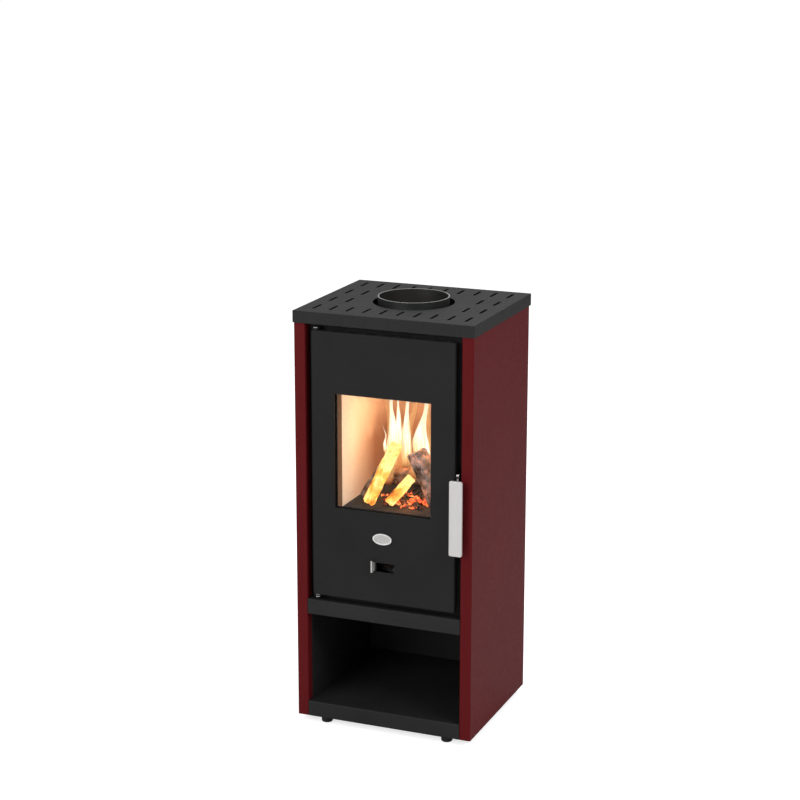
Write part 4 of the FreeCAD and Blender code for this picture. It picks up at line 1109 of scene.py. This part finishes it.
@dataclass
class Firebox:
    """The welded box, its boards and bricks, and the fire in it."""

    repeater: Repeater
    nodes: Sequence[str] = ("front_frame", "firebox_side_right", "firebox_side_left",
                            "firebox_back", "ash_floor", "firebox_top", "flue_flange",
                            "flue_collar", "grate_shelf", "grate", "bed_bricks",
                            "side_liner_right", "side_liner_left", "back_liner",
                            "baffle_plate", "ash_pan_runners", "latch_keeper",
                            "hinge_plate_upper", "hinge_plate_lower", "hinge_pin_upper",
                            "hinge_pin_lower", "hinge_washer")
    coal_count: int = 150
    coal_size: float = 5.0 * MM
    coal_sizes: Span = (0.35, 1.15)  # least and most, as shares of coal_size
    coal_lift: float = 3.2  # height of a coal's middle above the bed
    coal_middle: Span = (18, 112)  # where the coals gather, across and in depth
    coal_scatter: Span = (26, 34)
    bed_half_width: float = 92
    bed_depths: Span = (56, 270)
    heap_middle: Span = (22, 92)
    heap_reach: Span = (30, 34)
    heap_height: float = 7
    seed: int = 11

    def logs(self) -> list[SplitLog]:
        """Return the logs on the fire bed."""
        charred, glowing, ashy = LogLook.CHARRED, LogLook.GLOWING, LogLook.ASHY
        return [SplitLog(name, at(*low), at(*high), radius * MM, look, split, seed)
                for name, low, high, radius, look, split, seed in (
            ("log_left_charred", (-72, 78, 492), (-32, 118, 572), 12, charred, 250, 3),
            ("log_middle_glowing", (-54, 56, 488), (-4, 92, 612), 14, glowing, 285, 5),
            ("log_short_glowing", (-12, 62, 490), (26, 96, 541), 11, glowing, 300, 8),
            ("log_right_ashy", (90, 76, 499), (38, 84, 600), 24, ashy, 250, 2),
            ("log_back_charred", (-88, 226, 502), (80, 240, 505), 21, charred, 95, 12),
            ("log_back_leaning", (66, 150, 502), (8, 160, 594), 16, charred, 250, 14))]

    def flames(self) -> list[Flame]:
        """Return the tongues of flame."""
        return [Flame(name, at(*foot), at(*tip), width * MM, bright, seed)
                for name, foot, tip, width, bright, seed in (
            ("flame_left_outer", (-16, 96, 550), (-20, 108, 790), 44, False, 1),
            ("flame_left_inner", (-16, 92, 560), (-18, 106, 790), 30, True, 2),
            ("flame_left_wisp", (-2, 90, 590), (-4, 102, 785), 17, True, 21),
            ("flame_middle_outer", (10, 104, 550), (16, 116, 790), 44, False, 3),
            ("flame_middle_inner", (12, 100, 560), (10, 114, 790), 27, True, 4),
            ("flame_right_outer", (48, 96, 560), (54, 104, 785), 46, False, 5),
            ("flame_right_inner", (46, 90, 570), (52, 102, 780), 32, True, 6),
            ("flame_right_wisp", (62, 88, 545), (60, 96, 730), 17, True, 23),
            ("flame_small_left", (-34, 100, 585), (-40, 104, 650), 9, True, 7),
            ("flame_low_middle", (-22, 84, 520), (-6, 96, 640), 22, False, 8),
            ("flame_low_right", (30, 90, 530), (34, 100, 655), 20, False, 9),
            ("flame_back_left", (-44, 190, 510), (-40, 196, 665), 26, False, 10),
            ("flame_back_right", (30, 190, 520), (24, 196, 690), 30, False, 13))]

    def coal_shape(self) -> Piece:
        """Make one lumpy coal at the origin.

        Returns:
            The coal, used as the shape that is repeated.
        """
        work = bmesh.new()
        bmesh.ops.create_icosphere(work, subdivisions=2, radius=self.coal_size)
        for corner in work.verts:
            lump = noise.fractal(corner.co * 260, 0.8, 2.0, 3)
            corner.co *= 1 + 0.35 * lump
            corner.co.z *= 0.7
        mesh = bpy.data.meshes.new("coal_shape")
        work.to_mesh(mesh)
        work.free()
        return add_object("coal_shape", mesh)

    def coal_points(self) -> list[Vector]:
        """Scatter the coals: a heap in the middle, thinner outwards.

        Returns:
            The seeded places of their middles.
        """
        draw = random.Random(self.seed)
        points = []
        for _ in range(self.coal_count):
            x = draw.gauss(self.coal_middle[0], self.coal_scatter[0])
            y = draw.gauss(self.coal_middle[1], self.coal_scatter[1])
            if abs(x) < self.bed_half_width and self.bed_depths[0] < y < self.bed_depths[1]:
                heap = self.heap_height * math.exp(
                    -((x - self.heap_middle[0]) / self.heap_reach[0]) ** 2
                    - ((y - self.heap_middle[1]) / self.heap_reach[1]) ** 2)
                points.append(at(x, y, FIRE_BED + self.coal_lift + draw.random() * heap))
        return points

    def build(self) -> None:
        """Dress the box and build the fire."""
        dress(self.nodes)
        logs = [finish_piece(one.build(), Body.STOVE, "burning_wood") for one in self.logs()]
        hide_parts("split_logs")
        coals = self.repeater.run("fire_coals", self.coal_points(), self.coal_shape(),
                                  "fire_coals", ((-3, -3, -3), (3, 3, 3)), self.coal_sizes,
                                  self.seed)
        finish_piece(coals, Body.STOVE, "fire_coals")
        for one in self.flames():
            finish_piece(one.build(), Body.STOVE,
                         "flame_inner" if one.bright else "flame_outer")


@dataclass
class Door:
    """The glazed door, with its seals, clips, badge and handle ears."""

    repeater: Repeater
    nodes: Sequence[str] = ("door_panel", "gasket_channel", "door_rope", "window_glass",
                            "glass_tape", "glass_clips", "badge", "handle_lugs",
                            "handle_pin", "shutter_guides")
    clip_aside: float = 125.0
    clip_above: float = 141.0
    clip_face: float = 10.5
    screw: Screw = Screw(7.0 * MM)

    def build(self) -> None:
        """Dress the door and set the screws of the glass clips."""
        dress(self.nodes)
        points = [at(x, self.clip_face, WINDOW_LEVEL + rise)
                  for x, rise in ((-self.clip_aside, 0), (self.clip_aside, 0),
                                  (0, self.clip_above), (0, -self.clip_above))]
        self.screw.set_out(self.repeater, "clip_socket_screws", points, Body.DOOR,
                           "zinc_screw", 6, "glass_clip_screws")


@dataclass
class MovingParts:
    """The handle with its latch, the air slide and the ash pan."""

    nodes: Sequence[str] = ("handle_bar", "latch_lever", "air_shutter", "air_tab", "ash_pan")

    def build(self) -> None:
        """Dress the pieces."""
        dress(self.nodes)


# ------------------------------------------------------------------ studio
@dataclass(frozen=True)
class SoftLight:
    """A square light of some size and power, in watts, that points at a place."""

    name: str
    place: Point
    aim: Point
    size: float
    power: float

    def build(self) -> None:
        """Set the light."""
        data = bpy.data.lights.new(self.name, "AREA")
        data.shape, data.size, data.energy = "SQUARE", self.size, self.power
        made = add_object(self.name, data)
        made.location = self.place
        made.rotation_mode = "QUATERNION"
        made.rotation_quaternion = (Vector(self.aim) - made.location).to_track_quat("-Z", "Y")


@dataclass(frozen=True)
class FireLight:
    """A small round light inside the fire."""

    name: str
    place: Vector
    power: float
    colour: Colour
    size: float

    def build(self) -> None:
        """Set the light."""
        data = bpy.data.lights.new(self.name, "POINT")
        data.energy, data.color, data.shadow_soft_size = self.power, self.colour, self.size
        add_object(self.name, data).location = self.place


@dataclass
class Studio:
    """The pale floor, the soft lights and the camera."""

    lights: Sequence[SoftLight | FireLight] = (
        SoftLight("key_light", (-1.3, -3.4, 2.0), (0, 0, 0.4), 1.8, 46),
        SoftLight("side_light", (3.4, -1.6, 3.0), (0.1, 0, 0.8), 1.6, 52),
        SoftLight("top_light", (0, 1.6, 3.4), (0, 0, 0.8), 2.0, 44),
        FireLight("fire_glow", at(4, 120, 650), 0.72, (1.0, 0.62, 0.36), 0.03),
        FireLight("ember_glow", at(26, 70, 512), 0.10, (1.0, 0.36, 0.12), 0.012))
    floor_size: float = 80.0
    floor_level: float = -0.0002  # just under the feet
    floor_colour: Colour = (0.86, 0.86, 0.86)
    floor_lift: float = 0.72
    ambient: float = 0.36  # the surroundings' light on the stove
    backdrop: float = 1.15  # their brightness to the camera
    eye: Point = (1.5896, -3.9623, 1.7955)
    pitch: float = 75.47
    heading: float = 22.33
    lens: float = 94.6
    shift: float = 0.0057

    def floor(self) -> None:
        """Lay the floor."""
        half = self.floor_size / 2
        corners = [Vector((x * half, y * half, self.floor_level))
                   for x, y in ((-1, -1), (1, -1), (1, 1), (-1, 1))]
        made = piece_from("floor", corners, [(0, 1, 2, 3)], smooth=False)
        s = Shader("pale_floor")
        seen = s.node("ShaderNodeLightPath").outputs["Is Camera Ray"]
        s.set(Base_Color=self.floor_colour, Roughness=1.0, Specular_IOR_Level=0.0,
              Emission_Color=(1.0, 1.0, 1.0),
              Emission_Strength=s.times(seen, self.floor_lift))
        made.data.materials.append(s.material)

    def world(self) -> None:
        """Make the surroundings white to look at and softer to be lit by."""
        scene = bpy.context.scene
        scene.world = bpy.data.worlds.new("studio")
        scene.world.use_nodes = True
        nodes = Nodes(scene.world.node_tree)
        base = nodes.tree.nodes["Background"]
        seen = nodes.node("ShaderNodeBackground")
        for shell, strength in ((base, self.ambient), (seen, self.backdrop)):
            nodes.feed(shell.inputs["Color"], (1, 1, 1))
            nodes.feed(shell.inputs["Strength"], strength)
        rays = nodes.node("ShaderNodeLightPath")
        mix = nodes.node("ShaderNodeMixShader", {0: rays.outputs["Is Camera Ray"],
                                                 1: base.outputs[0], 2: seen.outputs[0]})
        nodes.link(mix.outputs[0], nodes.tree.nodes["World Output"].inputs["Surface"])
        scene.view_settings.view_transform = "Standard"

    def camera(self) -> None:
        """Stand the camera in front, a little above and to the right."""
        data = bpy.data.cameras.new("camera")
        data.lens, data.sensor_width, data.shift_x = self.lens, 36.0, self.shift
        data.clip_start, data.clip_end = 0.05, 200.0
        made = add_object("camera", data)
        made.location = self.eye
        made.rotation_euler = (math.radians(self.pitch), 0, math.radians(self.heading))
        bpy.context.scene.camera = made

    def build(self) -> None:
        """Set up the whole studio."""
        self.floor()
        self.world()
        for light in self.lights:
            light.build()
        self.camera()


def main() -> None:
    """Build the stove's looks and the studio round it."""
    logging.basicConfig(level=logging.INFO, format="%(name)s: %(message)s")
    repeater = Repeater("repeat_on_points")
    for part in (Casing(repeater), Firebox(repeater), Door(repeater), MovingParts()):
        part.build()
    Studio().build()


if __name__ == "__main__":
    main()
